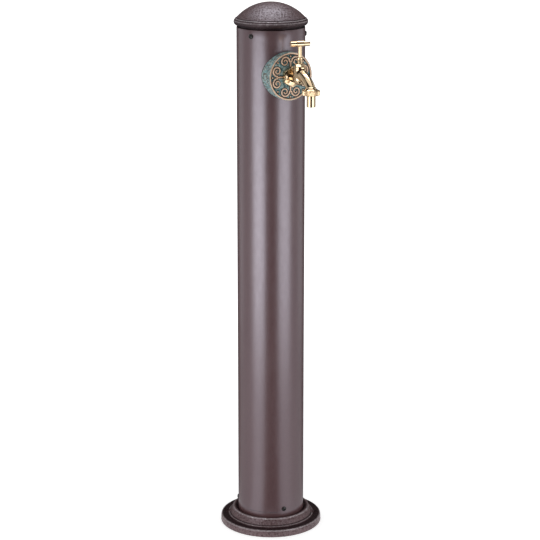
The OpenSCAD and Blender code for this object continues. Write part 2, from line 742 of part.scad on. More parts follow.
module tee_handle() color("#dcb96f") at_chamber(handle_z) rotate([0, 0, handle_turn]) difference() {
    rotate([0, 90, 0]) union() {
        translate([0, 0, -handle_length / 2]) cylinder(h = handle_length, d = handle_d);
        translate([0, 0, -boss_length / 2]) cylinder(h = boss_length, d = boss_d);
    }
    translate([0, 0, -boss_d / 2 - over]) {
        cylinder(h = over + handle_seat, r = spindle_d / 2 + thread_gap);
        cylinder(h = over + handle_seat + tenon_h + root, r = tenon_d / 2 + thread_gap);
    }
}

module jumper() color("#caa455") {
    at_chamber(plate_z) cylinder(h = jumper_t, d = jumper_d);
    at_chamber(spindle_z - root) cylinder(h = stem_length + root, d = stem_d);
    at_chamber(seal_z - jumper_nut_h) cylinder(h = seal_t + jumper_nut_h + root, d = stud_d);
}

module jumper_washer() color("#1f2122") at_chamber(seal_z)
    ring(seal_d / 2, stud_d / 2 + thread_gap, seal_t);

module jumper_nut() color("#caa455") at_chamber(seal_z - jumper_nut_h) difference() {
    hexagon(jumper_nut_af, jumper_nut_h);
    translate([0, 0, -over]) cylinder(h = jumper_nut_h + 2 * over, r = stud_d / 2 + thread_gap);
}

module union_nut() color("#e3c27c") at_outlet(union_z0) difference() {
    linear_extrude(union_h) polygon([for (i = [0:2 * knurl_count - 1])
        (union_d / 2 - knurl_depth * (i % 2)) * [cos(180 * i / knurl_count), sin(180 * i / knurl_count)]]);
    translate([0, 0, -over]) cylinder(h = union_h, r = tail_d / 2 + tail_step + tail_gap);
    translate([0, 0, union_lip]) cylinder(h = union_h, r = skirt_r + running_gap);
}

module hose_tail() color("#dcb96f") difference() {
    union() {
        at_outlet(tail_flange_z) cylinder(h = tail_flange_t, r = tail_flange_r);
        at_outlet(union_z0 - step_show)
            cylinder(h = union_lip + step_show + root, r = tail_d / 2 + tail_step);
        at_outlet(tail_z) cylinder(h = tail_flange_z - tail_z, d = tail_d);
    }
    at_outlet(tail_z - over) cylinder(h = hose_washer_z - tail_z + 2 * over, d = tail_bore);
}

module hose_washer() color("#1f2122") at_outlet(hose_washer_z)
    ring(tail_flange_r, tail_bore / 2, hose_washer_t);

base_flange();
column_tube();
dome_cap();
base_screws();
cap_screws();
rosette();
tap_body();
inlet_washer();
wall_nipple();
saddle_washer();
lock_nut();
elbow();
riser_pipe();
supply_coupling();
riser_guide();
bonnet_washer();
bonnet();
gland_packing();
gland_nut();
spindle();
tee_handle();
jumper();
jumper_washer();
jumper_nut();
union_nut();
hose_tail();
hose_washer();
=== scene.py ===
"""Garden standpipe: a painted column on a cast base, with a domed cap, a scroll rosette and a brass bib tap.

Every size is in metres in the part's own frame: the ground is z = 0 and the tap faces -Y.
"""

import json
import math

import bmesh
import bpy
import numpy as np
from bpy.props import FloatProperty, FloatVectorProperty, IntProperty, PointerProperty
from mathutils import Matrix, Vector, noise
from mathutils.kdtree import KDTree


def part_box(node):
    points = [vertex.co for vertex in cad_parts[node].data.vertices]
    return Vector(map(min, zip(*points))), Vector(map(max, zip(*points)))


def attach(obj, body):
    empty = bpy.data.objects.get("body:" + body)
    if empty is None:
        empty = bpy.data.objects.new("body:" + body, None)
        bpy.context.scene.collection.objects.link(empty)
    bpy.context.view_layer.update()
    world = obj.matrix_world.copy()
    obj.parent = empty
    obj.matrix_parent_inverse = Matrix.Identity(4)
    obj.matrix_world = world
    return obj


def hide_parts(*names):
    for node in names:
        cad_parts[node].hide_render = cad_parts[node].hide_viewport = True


bl_info = {
    "name": "Garden Standpipe",
    "version": (1, 0, 0),
    "blender": (4, 5, 0),
    "location": "View3D > Sidebar > Standpipe",
    "description": "Dresses the garden standpipe: paint, cast iron, verdigris and polished brass",
    "category": "Object",
}

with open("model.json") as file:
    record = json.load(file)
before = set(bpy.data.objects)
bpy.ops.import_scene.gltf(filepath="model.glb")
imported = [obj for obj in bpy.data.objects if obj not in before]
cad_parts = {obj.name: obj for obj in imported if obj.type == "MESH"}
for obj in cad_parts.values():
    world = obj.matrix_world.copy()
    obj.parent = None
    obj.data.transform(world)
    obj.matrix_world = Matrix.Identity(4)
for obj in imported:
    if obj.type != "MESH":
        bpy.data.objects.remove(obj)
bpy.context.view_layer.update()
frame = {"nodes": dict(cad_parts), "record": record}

MM = 0.001
TAU = 2 * math.pi
IMAGE_SIZE = 540
SENSOR = 36.0


def corner(node, which, axis):
    """One number of a CAD node's box: which is 0 for the lowest corner and 1 for the highest."""
    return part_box(node)[which][axis]


def middle(node, axis):
    """The middle of a CAD node's box along one axis."""
    return (corner(node, 0, axis) + corner(node, 1, axis)) / 2


PLATE_R = corner("base_flange", 1, 0)
TUBE_R = corner("column_tube", 1, 0)
TUBE_LOW = corner("column_tube", 0, 2)
TUBE_TOP = corner("column_tube", 1, 2)
APEX = corner("dome_cap", 1, 2)
INLET_Z = middle("rosette", 2)
ROSETTE_R = corner("rosette", 1, 0)
FACE_REACH = -corner("rosette", 0, 1)
CHAMBER_REACH = -middle("bonnet", 1)
CHAMBER_TOP = corner("bonnet_washer", 0, 2)
OUTLET_REACH = -middle("hose_tail", 1)
SKIRT_Z = corner("union_nut", 1, 2) + 0.3 * MM


def length(name, description, millimetres):
    """A size or a distance, given in millimetres."""
    return FloatProperty(name=name, description=description, default=millimetres * MM, unit="LENGTH",
                         precision=5)


def turn_angle(name, description, degrees):
    """An angle, given in degrees."""
    return FloatProperty(name=name, description=description, default=math.radians(degrees), subtype="ANGLE")


def tint(name, description, *rgb):
    """A linear colour."""
    return FloatVectorProperty(name=name, description=description, default=rgb, size=3, min=0, max=1,
                               subtype="COLOR")


def amount(name, description, value):
    """A plain number, such as a strength or a number of turns."""
    return FloatProperty(name=name, description=description, default=value)


def how_many(name, description, number):
    """A number of like things."""
    return IntProperty(name=name, description=description, default=number, min=1)


class ColumnSizes(bpy.types.PropertyGroup):
    """Sizes of the tube, the base, the cap and their screws"""

    tube_wall: length("Tube wall", "Thickness of the column tube", 1.5)
    tube_edge: length("Tube edge", "Rounding of the tube's ends", 0.6)
    # The rub line is a dark band painted where the collar's crest is reflected in the tube: a painted
    # reflection.
    crest_reflection_height: length("Rub line", "Height of the dark rub line on the tube above the ground", 37)
    plate_thick: length("Plate thickness", "Thickness of the base plate", 13.5)
    plate_edge: length("Plate edge", "Rounding of the base plate's upper edge", 4)
    foot_r: length("Collar foot", "Radius of the collar's foot", 81.2)
    lip_rise: length("Collar lip", "Height of the lip round the collar's foot", 2.2)
    crest_r: length("Collar crest", "Radius of the collar's crest", 71)
    crest_z: length("Crest height", "Height of the collar's crest above the ground", 28.5)
    groove_gap: length("Groove", "Gap between the tube and the collar's groove", 0.5)
    opening_r: length("Supply opening", "Radius of the opening under the base", 30)
    spigot_wall: length("Spigot wall", "Thickness of the spigots inside the tube", 5)
    spigot_gap: length("Spigot gap", "Gap between a spigot and the tube", 0.25)
    anchor_r: length("Anchor circle", "Distance of the anchor holes from the column's axis", 83.5)
    anchor_hole: length("Anchor hole", "Radius of the anchor holes", 4)
    anchor_face: length("Spot face", "Radius of the spot face round an anchor hole", 7)
    anchor_turn: turn_angle("Anchor angle", "Angle of the first anchor hole from the tap", 60)
    bead_r: length("Bead", "Radius of the cap's half-round bead", 7.2)
    bead_z: length("Bead height", "Height of the bead's middle above the tube", 10)
    bead_out: length("Bead overhang", "How far the bead stands out from the tube", 5.1)
    bead_groove: length("Bead groove", "Depth of the groove between the bead's two rolls", 0.7)
    dome_foot_z: length("Dome foot", "Height of the dome's foot above the tube", 17)
    dome_foot_out: length("Dome overhang", "How far the dome's foot stands out from the tube", -0.1)
    cap_wall: length("Cap wall", "Thickness of the dome", 5)
    gap_depth: length("Shadow gap", "Depth of the groove under the bead, behind the spigot's face", 3.4)
    screw_head_r: length("Screw head", "Radius of the screw heads", 4.5)
    screw_head_h: length("Screw head height", "Height of the screw heads", 2.6)
    base_screw_turn: turn_angle("Base screws", "Angle of the first base screw from the tap", -5)
    cap_screw_turn: turn_angle("Cap screws", "Angle of the first cap screw from the tap", -63)
    screw_count: how_many("Screws", "Number of screws at each end of the tube", 3)
    grain: length("Casting grain", "Depth of the sand-cast grain", 0.13)


class RosetteSizes(bpy.types.PropertyGroup):
    """Sizes of the rosette and its scrolls"""

    rim: length("Rim", "Width of the raised rim", 3.8)
    field_depth: length("Field", "Depth of the field below the rim", 1.5)
    plate: length("Plate", "Thickness of the face plate", 4.5)
    wall: length("Skirt", "Thickness of the skirt", 3)
    bore: length("Bore", "Radius of the hole for the pipe nipple", 11)
    hub_r: length("Hub", "Radius of the raised hub under the tap", 15.5)
    scroll_r: length("Scroll", "Radius of a scroll's outer turn", 11.1)
    scroll_ring: length("Scroll circle", "Distance of the scrolls' centres from the rosette's centre", 29.2)
    scroll_width: length("Scroll rib", "Width of a scroll's rib", 3.7)
    scroll_eye: length("Scroll eye", "Radius of a scroll's inmost turn", 1.9)
    scroll_turns: amount("Turns", "Turns in a scroll", 1.45)
    pairs: how_many("Pairs", "Pairs of scrolls", 4)
    leaf_in: length("Leaf root", "Distance of a leaf's root from the centre", 14.5)
    leaf_out: length("Leaf tip", "Distance of a leaf's tip from the centre", 28)
    leaf_width: length("Leaf width", "Width of a leaf", 4.2)
    bud_ring: length("Bud circle", "Distance of the buds from the centre", 36.4)
    bud_r: length("Bud", "Radius of a bud", 1.9)
    grain: length("Casting grain", "Depth of the cast surface's grain", 0.06)


class TapSizes(bpy.types.PropertyGroup):
    """Sizes of the bib tap"""

    hex_half: length("Hexagon", "Half the big hexagon's size across flats", 16.5)
    hex_thick: length("Hexagon thickness", "Thickness of the big hexagon", 9.5)
    neck_r: length("Neck", "Radius of the neck at the hexagon", 9.5)
    neck_end_r: length("Neck end", "Radius of the neck at the chamber", 8.5)
    chamber_r: length("Chamber", "Outside radius of the valve chamber", 12)
    chamber_below: length("Chamber depth", "Depth of the chamber's round bottom below the inlet", 11)
    chamber_bore: length("Chamber bore", "Radius of the chamber's bore", 9.6)
    seat_above: length("Seat", "Height of the valve seat above the inlet", 5.5)
    seat_bore: length("Seat bore", "Radius of the hole in the seat", 5)
    spout_r: length("Spout", "Radius of the spout at the chamber", 9.6)
    spout_end_r: length("Spout end", "Radius of the spout above the outlet", 8.2)
    spout_drop: length("Spout start", "How far below the chamber's top the spout's line starts", 7.5)
    bend_back: length("Spout bend, back", "Distance of the spout's bend behind the outlet's axis", 8)
    bend_rise: length("Spout bend, height", "Height of the spout's bend above the skirt", 14)
    skirt_r: length("Skirt", "Radius of the flared skirt", 13.1)
    skirt_rise: length("Skirt height", "Height of the flared skirt", 5)
    outlet_bore: length("Outlet bore", "Radius of the outlet's bore", 5.7)
    blend: length("Blend", "Rounding where the tap's limbs meet", 3)
    bonnet_r: length("Bonnet flange", "Radius of the bonnet's flange", 12.3)
    bonnet_half: length("Bonnet hexagon", "Half the bonnet's size across flats", 7.75)
    bonnet_turn: turn_angle("Bonnet angle", "Angle of the bonnet's hexagon", 40)
    stuffing_r: length("Stuffing box", "Radius of the hole for the packing", 4.9)
    gland_r: length("Gland neck", "Radius of the gland nut's neck", 5.1)
    gland_ring: length("Gland ring", "Height of the ring on the gland nut", 3)
    spindle_r: length("Spindle", "Radius of the spindle", 3.6)
    bar_r: length("Handle arms", "Radius of the T-handle's arms", 4.6)
    bar_length: length("Handle length", "Length of the T-handle", 36)
    boss_r: length("Handle middle", "Radius of the T-handle's middle", 5.5)
    boss_length: length("Handle middle length", "Length of the T-handle's middle", 13)
    handle_turn: turn_angle("Handle angle", "Angle of the T-handle when the tap is shut", -11)
    knurl_depth: length("Knurl depth", "Depth of the union nut's grooves", 0.5)
    knurl_count: how_many("Knurl", "Grooves round the union nut", 60)
    nut_lip: length("Nut lip", "Thickness of the union nut's lip under the hose tail's flange", 1.6)
    tail_r: length("Hose tail", "Radius of the hose tail", 8)


class Colours(bpy.types.PropertyGroup):
    """Colours of the finishes, linear"""

    paint: tint("Paint", "Antique brown paint", 0.124, 0.055, 0.056)
    paint_light: tint("Paint, light", "Where the paint is thinner or rubbed", 0.145, 0.074, 0.072)
    cast: tint("Cast paint", "The same paint on the sand castings", 0.080, 0.033, 0.031)
    cast_light: tint("Cast paint, light", "High grains of the castings", 0.114, 0.051, 0.049)
    # Lightens high grains, and the castings' edges as wear and painted highlight.
    rubbed: tint("Rubbed edges", "Bare metal on the castings' edges", 0.52, 0.47, 0.48)
    paint_sheen: tint("Paint sheen", "Colour of the paint's gloss", 0.88, 0.87, 0.98)
    cap_sheen: tint("Cap sheen", "Colour of the gloss on the cap", 0.8096, 0.8004, 0.9016)
    base_sheen: tint("Base sheen", "Colour of the gloss on the base", 0.72, 0.63, 0.69)
    screw: tint("Screws", "Dark painted steel", 0.010, 0.008, 0.008)
    verdigris: tint("Verdigris", "Ground of the rosette", 0.24, 0.50, 0.53)
    verdigris_deep: tint("Verdigris, deep", "Darker patches of the ground", 0.03, 0.10, 0.115)
    verdigris_pale: tint("Verdigris, pale", "Chalky bloom on the rosette", 0.66, 0.74, 0.70)
    # Dark patina in the relief's corners, deepened as painted shade, and the painted contact shade where the
    # rosette meets the tube.
    verdigris_patina_and_shade: tint("Verdigris, dark", "Corners of the rosette's relief", 0.008, 0.022, 0.027)
    copper: tint("Copper", "Rubbed ridges of the rosette", 1.0, 0.74, 0.56)
    rust: tint("Rust", "Flanks of the rosette's ridges", 0.24, 0.10, 0.045)
    umber: tint("Umber", "Brown stains on the rosette", 0.19, 0.135, 0.105)
    brass: tint("Brass", "Polished brass", 0.87, 0.66, 0.425)
    brass_tarnish: tint("Brass, tarnished", "Brass in corners", 0.56, 0.38, 0.20)
    bare_brass: tint("Bare brass", "Machined brass inside", 0.70, 0.52, 0.25)
    zinc: tint("Zinc", "Galvanised pipe", 0.46, 0.47, 0.49)
    rubber: tint("Rubber", "Seals", 0.018, 0.018, 0.019)
    fibre: tint("Fibre", "Red fibre washers", 0.26, 0.045, 0.03)
    plastic: tint("Plastic", "Black guide disc", 0.022, 0.023, 0.025)


class StageSettings(bpy.types.PropertyGroup):
    """Camera, lamps and floor"""

    camera_turn: turn_angle("Camera azimuth", "Angle of the camera from the tap's side", -28.4)
    camera_away: length("Camera distance", "Level distance from the column's axis", 3286)
    camera_z: length("Camera height", "Height of the camera above the ground", 1375)
    camera_pitch: turn_angle("Camera pitch", "How far the camera looks down", 14.93)
    focal_pixels: amount("Focal length", "Focal length in pixels of the square image", 1814)
    axis_pixel: amount("Column's pixel", "Where the column's axis crosses the image's middle row", 270.88)
    fill: amount("Fill", "Strength of the soft light from all round", 0.45)
    left: amount("Left lamp", "Radiance of the lamp on the left", 1.6)
    right: amount("Right lamp", "Radiance of the lamp on the right", 1.0)
    top: amount("Top lamp", "Radiance of the lamp overhead", 4.5)
    lamp_tint: tint("Lamp colour", "Colour of the lamps", 0.98, 0.985, 1.0)
    floor_shadow: amount("Floor shadow", "Share of the lamps' light and shadow that shows on the floor", 0.85)
    floor_glow: amount("Floor glow", "Glow of the floor beside the column", 0.6)
    floor: tint("Floor", "Colour of the floor", 0.9, 0.9, 0.9)


class Shade:
    """A node's output that takes part in arithmetic; each operation adds a Math node."""

    def __init__(self, graph, socket):
        self.graph = graph
        self.socket = socket

    def math(self, operation, *others):
        """The result of a Math node fed with this output and others."""
        return self.graph.math(operation, self, *others)

    def __add__(self, other):
        return self.math("ADD", other)

    __radd__ = __add__

    def __sub__(self, other):
        return self.math("SUBTRACT", other)

    def __rsub__(self, other):
        return self.graph.math("SUBTRACT", other, self)

    def __mul__(self, other):
        return self.math("MULTIPLY", other)

    __rmul__ = __mul__

    def ramp(self, low, high):
        """Rises smoothly from 0 at low to 1 at high."""
        return self.graph.add("ShaderNodeMapRange", {"interpolation_type": "SMOOTHSTEP"},
                              {"Value": self, "From Min": low, "From Max": high})


class Graph:
    """The nodes of a material or of the world."""

    def __init__(self, tree):
        self.tree = tree

    def put(self, socket, value):
        """Sets a socket, or links it."""
        if isinstance(value, Shade):
            self.tree.links.new(value.socket, socket)
        elif hasattr(value, "__len__") and socket.type == "RGBA":
            socket.default_value = (*value[:3], 1)
        else:
            socket.default_value = value

    def add(self, kind, settings=None, inputs=None, output=0):
        """Adds a node, sets it, feeds its sockets and returns one of its outputs."""
        node = self.tree.nodes.new(kind)
        for key, value in (settings or {}).items():
            setattr(node, key, value)
        for key, value in (inputs or {}).items():
            self.put(node.inputs[key], value)
        return Shade(self, node.outputs[output])

    def math(self, operation, *values):
        """The result of one operation on numbers or on other results."""
        return self.add("ShaderNodeMath", {"operation": operation}, dict(enumerate(values)))

    def background_ray(self):
        """1 where a ray from the camera or a reflection meets the background."""
        kinds = ("Is Camera Ray", "Is Glossy Ray", "Is Transmission Ray")
        camera, glossy, through = (self.add("ShaderNodeLightPath", output=kind) for kind in kinds)
        return (camera + glossy + through).math("MINIMUM", 1)


class Finish(Graph):
    """A material under construction: constants go on the shader, the rest is drawn with nodes."""

    def __init__(self, name, constants):
        self.material = bpy.data.materials.new(name)
        self.material.use_nodes = True
        super().__init__(self.material.node_tree)
        self.surface = self.tree.nodes["Principled BSDF"]
        self.wear(constants)
        self.place = self.add("ShaderNodeTexCoord", output="Object")

    def wear(self, values):
        """Sets or links sockets of the surface shader."""
        for socket, value in values.items():
            self.put(self.surface.inputs[socket], value)

    def along(self, axis):
        """The surface point's own X, Y or Z, in metres."""
        return self.add("ShaderNodeSeparateXYZ", inputs={0: self.place}, output=axis)

    def stretch(self, x, y, z):
        """The surface point with its axes stretched."""
        return self.add("ShaderNodeVectorMath", {"operation": "MULTIPLY"}, {0: self.place, 1: (x, y, z)})

    def length_of(self, vector):
        """The length of a vector, in metres."""
        return self.add("ShaderNodeVectorMath", {"operation": "LENGTH"}, {0: vector}, output="Value")

    def grain(self, size, detail=3.0, rough=0.55, at=None):
        """Soft noise from 0 to 1 whose lumps have the given size in metres."""
        return self.add("ShaderNodeTexNoise", inputs={
            "Vector": at or self.place, "Scale": 1 / size, "Detail": detail, "Roughness": rough})

    def cells(self, size, at=None):
        """Distance to the nearest point of a scatter with the given spacing, as a share of it."""
        return self.add("ShaderNodeTexVoronoi", inputs={"Vector": at or self.place, "Scale": 1 / size})

    def mix(self, factor, first, second):
        """Blends two colours."""
        return self.add("ShaderNodeMix", {"data_type": "RGBA"}, {0: factor, 6: first, 7: second}, output=2)

    def relief(self, height, depth, under=None):
        """A normal that follows a height of 0 to 1, whose full step is depth metres."""
        inputs = {"Height": height, "Distance": depth, "Strength": 1.0}
        if under:
            inputs["Normal"] = under
        return self.add("ShaderNodeBump", inputs=inputs)


def rounded(corners, closed=False, steps=6):
    """An outline of (x, y, rounding) corners as points, with an arc at each rounded corner."""
    points = []
    last = len(corners) - 1
    for i, (x, y, radius) in enumerate(corners):
        here = Vector((x, y))
        if radius == 0 or (not closed and i in (0, last)):
            points.append(here)
            continue
        back = (Vector(corners[i - 1][:2]) - here).normalized()
        ahead = (Vector(corners[(i + 1) % (last + 1)][:2]) - here).normalized()
        half = back.angle(ahead) / 2
        centre = here + (back + ahead).normalized() * radius / math.sin(half)
        start = here + back * radius / math.tan(half) - centre
        stop = here + ahead * radius / math.tan(half) - centre
        sweep = -start.angle_signed(stop)
        points += [centre + Matrix.Rotation(sweep * k / steps, 2) @ start for k in range(steps + 1)]
    return points


def spaced(points, gap, closed=False):
    """An outline with more points, so that none is further than gap from the next."""
    finer = []
    for here, there in zip(points, points[1:] + points[:1] if closed else points[1:]):
        count = max(1, math.ceil((there - here).length / gap))
        finer += [here.lerp(there, k / count) for k in range(count)]
    return finer if closed else finer + [points[-1]]


def turned(outline, segments, closed=False, rule=None):
    """A mesh turned about Z from radii and heights; rule(angle, radius, height) may change a radius."""
    shape = bmesh.new()
    rings = []
    for radius, height in outline:
        if radius < 1e-6:
            rings.append([shape.verts.new((0, 0, height))] * segments)
            continue
        ring = []
        for k in range(segments):
            angle = TAU * k / segments
            reach = rule(angle, radius, height) if rule else radius
            ring.append(shape.verts.new((reach * math.cos(angle), reach * math.sin(angle), height)))
        rings.append(ring)
    pairs = list(zip(rings, rings[1:]))
    if closed:
        pairs.append((rings[-1], rings[0]))
    for lower, upper in pairs:
        for k in range(segments):
            after = (k + 1) % segments
            corners = dict.fromkeys((lower[k], lower[after], upper[after], upper[k]))
            if len(corners) > 2:
                shape.faces.new(corners)
    return mesh_from(shape)


def mesh_from(shape):
    """Turns a bmesh into a mesh with its faces outward and smooth."""
    bmesh.ops.recalc_face_normals(shape, faces=shape.faces)
    mesh = bpy.data.meshes.new("shape")
    shape.to_mesh(mesh)
    shape.free()
    mesh.polygons.foreach_set("use_smooth", [True] * len(mesh.polygons))
    return mesh


def along_tap(mesh, reach, height):
    """Lays a mesh turned about Z along the tap's direction, from a reach and a height."""
    mesh.transform(Matrix.Translation((0, -reach, height)) @ Matrix.Rotation(math.pi / 2, 4, "X"))
    return mesh


def moved(mesh, x, y, z):
    """Moves a mesh."""
    mesh.transform(Matrix.Translation((x, y, z)))
    return mesh


def joined(*meshes):
    """One mesh from several."""
    shape = bmesh.new()
    for mesh in meshes:
        shape.from_mesh(mesh)
        bpy.data.meshes.remove(mesh)
    return mesh_from(shape)


def loose(mesh, name="scratch"):
    """An object for a mesh, in the scene."""
    thing = bpy.data.objects.new(name, mesh)
    bpy.context.scene.collection.objects.link(thing)
    return thing


def with_modifier(mesh, kind, **settings):
    """The mesh after one modifier."""
    thing = loose(mesh)
    modifier = thing.modifiers.new("step", kind)
    for key, value in settings.items():
        setattr(modifier, key, value)
    done = bpy.data.meshes.new_from_object(thing.evaluated_get(bpy.context.evaluated_depsgraph_get()))
    bpy.data.objects.remove(thing)
    bpy.data.meshes.remove(mesh)
    return done


def combined(mesh, other, operation):
    """The union or the difference of two closed meshes."""
    tool = loose(other, "tool")
    done = with_modifier(mesh, "BOOLEAN", object=tool, operation=operation, solver="MANIFOLD")
    bpy.data.objects.remove(tool)
    bpy.data.meshes.remove(other)
    return done


def crisp(mesh, degrees=35):
    """Smooth, evenly shaded faces, with sharp edges where they meet at more than an angle."""
    mesh.polygons.foreach_set("use_smooth", [True] * len(mesh.polygons))
    mesh.set_sharp_from_angle(angle=math.radians(degrees))
    return with_modifier(mesh, "WEIGHTED_NORMAL", keep_sharp=True, weight=60)


def roughened(mesh, depth, size, seed):
    """Pushes points in and out by noise, as sand leaves a casting."""
    shape = bmesh.new()
    shape.from_mesh(mesh)
    bpy.data.meshes.remove(mesh)
    shape.normal_update()
    offset = Vector((seed, 2.7 * seed, 5.1 * seed))
    for point in shape.verts:
        lump = noise.fractal(point.co / size + offset, 0.7, 2.1, 3)
        point.co += point.normal * depth * lump
    return mesh_from(shape)


def piece(name, mesh, finish, body, slot, *nodes):
    """Shows a mesh as a piece that rides on a body and stands for CAD nodes."""
    mesh.name = name
    mesh.materials.clear()
    mesh.materials.append(finish)
    thing = loose(mesh, name)
    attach(thing, body)
    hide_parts(*nodes)
    return thing


def paint_nodes(finish, deep, light, lumps):
    """Colour of the antique paint: a cloudy brown that thins in streaks down the column."""
    clouds = finish.grain(55 * MM, 4, 0.6, finish.stretch(1, 1, 0.3))
    flecks = finish.grain(lumps, 5, 0.65)
    thin = (clouds * 0.75 + flecks * 0.5).ramp(0.42, 0.95)
    return finish.mix(thin, deep, light)


def satin_paint(name, colours, sizes):
    """Satin paint on the drawn tube, with an orange-peel skin and a painted reflection of the collar's crest,
    a dark band near its foot.
    """
    finish = Finish(name, {"Specular IOR Level": 1.0, "IOR": 1.85, "Specular Tint": colours.paint_sheen})
    brown = paint_nodes(finish, colours.paint, colours.paint_light, 5 * MM)
    skin = finish.grain(1.6 * MM, 2)
    wave = finish.grain(26 * MM, 2, 0.5, finish.stretch(1, 1, 0.35))
    worn = finish.grain(9 * MM, 4, 0.7)
    reflection_breakup = finish.grain(14 * MM, 3, 0.6, finish.stretch(1, 1, 12))
    # A dark, rougher band on the tube's lower left and front just above the collar: painted reflection of the
    # collar's crest.
    line = 1 - (finish.along(2) - sizes.crest_reflection_height).math("ABSOLUTE").ramp(0.3 * MM, 1.6 * MM)
    left = (finish.along(0) * -1).ramp(4 * MM, 30 * MM)
    front = (finish.along(1) * -1).ramp(0, 20 * MM)
    crest_reflection = line * left * front * reflection_breakup.ramp(0.35, 0.6)
    finish.wear({
        "Base Color": finish.mix(crest_reflection * 0.8, brown, tuple(0.1 * c for c in colours.paint)),
        "Roughness": worn.ramp(0.2, 0.85) * 0.1 + (crest_reflection * 0.3 + 0.28),
        "Normal": finish.relief(skin, 0.03 * MM, finish.relief(wave, 0.22 * MM)),
    })
    return finish.material


def rings(finish, places):
    """1 on rings of a casting, each given as (radius, height, half its width, half its height)."""
    height = finish.along(2)
    radius = finish.length_of(finish.stretch(1, 1, 0))
    total = 0
    for ring_r, ring_z, half_width, half_height in places:
        across = (radius - ring_r) * (1 / half_width)
        up = (height - ring_z) * (1 / half_height)
        outside = (across * across + up * up).ramp(0.3, 1.4)
        total = (1 - outside).math("MAXIMUM", total)
    return total


def sand_cast_paint(name, colours, sheen, shaded_hollows, edges):
    """The same paint over a sand-cast skin: dark in pits, with painted shade in hollows and a painted
    highlight, partly wear, on edges.
    """
    finish = Finish(name, {"Specular IOR Level": 1.0, "IOR": 1.7, "Specular Tint": sheen})
    brown = paint_nodes(finish, colours.cast, colours.cast_light, 3 * MM)
    sand = finish.grain(4.2 * MM, 3, 0.75)
    pits = finish.cells(4 * MM, finish.stretch(1, 1, 1.15))
    coarse = finish.grain(6 * MM, 3, 0.6)
    high = (sand * 0.85 + coarse * 0.15).ramp(0.45, 0.62)
    low = 1 - pits.ramp(0.1, 0.5)
    # Edge rings are painted lighter and more metallic: part rubbed wear, part painted highlight.
    worn = rings(finish, edges) * (0.35 + high * 0.65)
    # Hollow rings take a darker, more metallic copy of the paint as painted shade; the pits darken as the
    # casting's grain.
    deep = (rings(finish, shaded_hollows) * 0.85).math("MAXIMUM", low * 0.6)
    dark = tuple(0.35 * c for c in colours.cast)
    grain_wear_and_highlight = finish.mix((high * 0.12).math("MAXIMUM", worn), brown, colours.rubbed)
    finish.wear({
        "Base Color": finish.mix(deep - worn * 0.5, grain_wear_and_highlight, dark),
        "Metallic": (worn * 0.45).math("MAXIMUM", deep * 0.75),
        "Roughness": 0.42 - high * 0.1 + low * 0.2 - worn * 0.08,
        "Normal": finish.relief(sand * 0.9 + coarse * 0.1 - low * 0.4, 1.1 * MM),
    })
    return finish.material


def screw_paint(name, colours):
    """Glossy black screws whose paint is chipped to steel here and there."""
    finish = Finish(name, {"Specular IOR Level": 0.9})
    steel = (0.2, 0.19, 0.19)
    chips = finish.grain(0.9 * MM, 4, 0.7)
    bare = chips.ramp(0.6, 0.66)
    finish.wear({
        "Base Color": finish.mix(bare, colours.screw, steel),
        "Metallic": bare * 0.8,
        "Roughness": 0.16 + chips * 0.2,
        "Normal": finish.relief(chips, 0.04 * MM),
    })
    return finish.material


def verdigris(name, colours):
    """Verdigris on a cast bronze rosette: chalky bloom, dark patina with painted shade in the relief's
    corners, painted contact shade at the tube, and ridges rubbed back to copper.
    """
    finish = Finish(name, {"Specular IOR Level": 0.4})
    ridge, corner_patina_and_shade, side = (finish.add("ShaderNodeAttribute", {"attribute_name": mark}, output="Fac")
                         for mark in ("ridge", "corner", "side"))
    fine = finish.grain(1.2 * MM, 4, 0.7)
    crumbs = finish.grain(3.6 * MM, 5, 0.75)
    blotch = finish.grain(7 * MM, 5, 0.65)
    streak = finish.grain(3.4 * MM, 5, 0.75, finish.stretch(1.3, 0.5, 1.3))
    patch = (blotch * 0.55 + fine * 0.4 + side * 0.1).ramp(0.4, 0.58)
    ground = finish.mix(patch, colours.verdigris_deep, colours.verdigris)
    bloom = (crumbs * 0.7 + blotch * 0.3).ramp(0.46, 0.57) * (side * 0.38 + 0.6)
    ground = finish.mix(bloom, ground, colours.verdigris_pale)
    stain = (streak * 0.75 + fine * 0.25).ramp(0.48, 0.56) * (side * 0.8 + 0.1)
    ground = finish.mix(stain, ground, colours.umber)
    # The relief's corners darken as patina and painted shade, and the skirt's foot darkens as painted contact
    # shade.
    patina_and_shade_mask = (corner_patina_and_shade * (0.7 + fine * 0.8)).ramp(0.25, 0.9)
    ground = finish.mix(patina_and_shade_mask, ground, colours.verdigris_patina_and_shade)
    rust = (ridge + fine * 0.5 - 0.25).ramp(0.2, 0.45)
    rubbed = (ridge + crumbs * 0.9 - 0.45).ramp(0.35, 0.7)
    ground = finish.mix(rust * 0.85, ground, colours.rust)
    finish.wear({
        "Base Color": finish.mix(rubbed, ground, colours.copper),
        "Metallic": rubbed * 0.6,
        "Roughness": 0.62 - rubbed * 0.2 + fine * 0.12,
        "Normal": finish.relief(fine * 0.7 + blotch * 0.5, 0.25 * MM),
    })
    return finish.material


# Roughness, depth of the ripple and axis of the turning marks of each brass surface
BRASS_SURFACES = {
    "cast_brass": (0.13, 0.12 * MM, None),
    "turned_brass": (0.07, 0.05 * MM, 2),
    "bar_brass": (0.07, 0.05 * MM, 0),
    "knurled_brass": (0.3, 0.08 * MM, None),
}


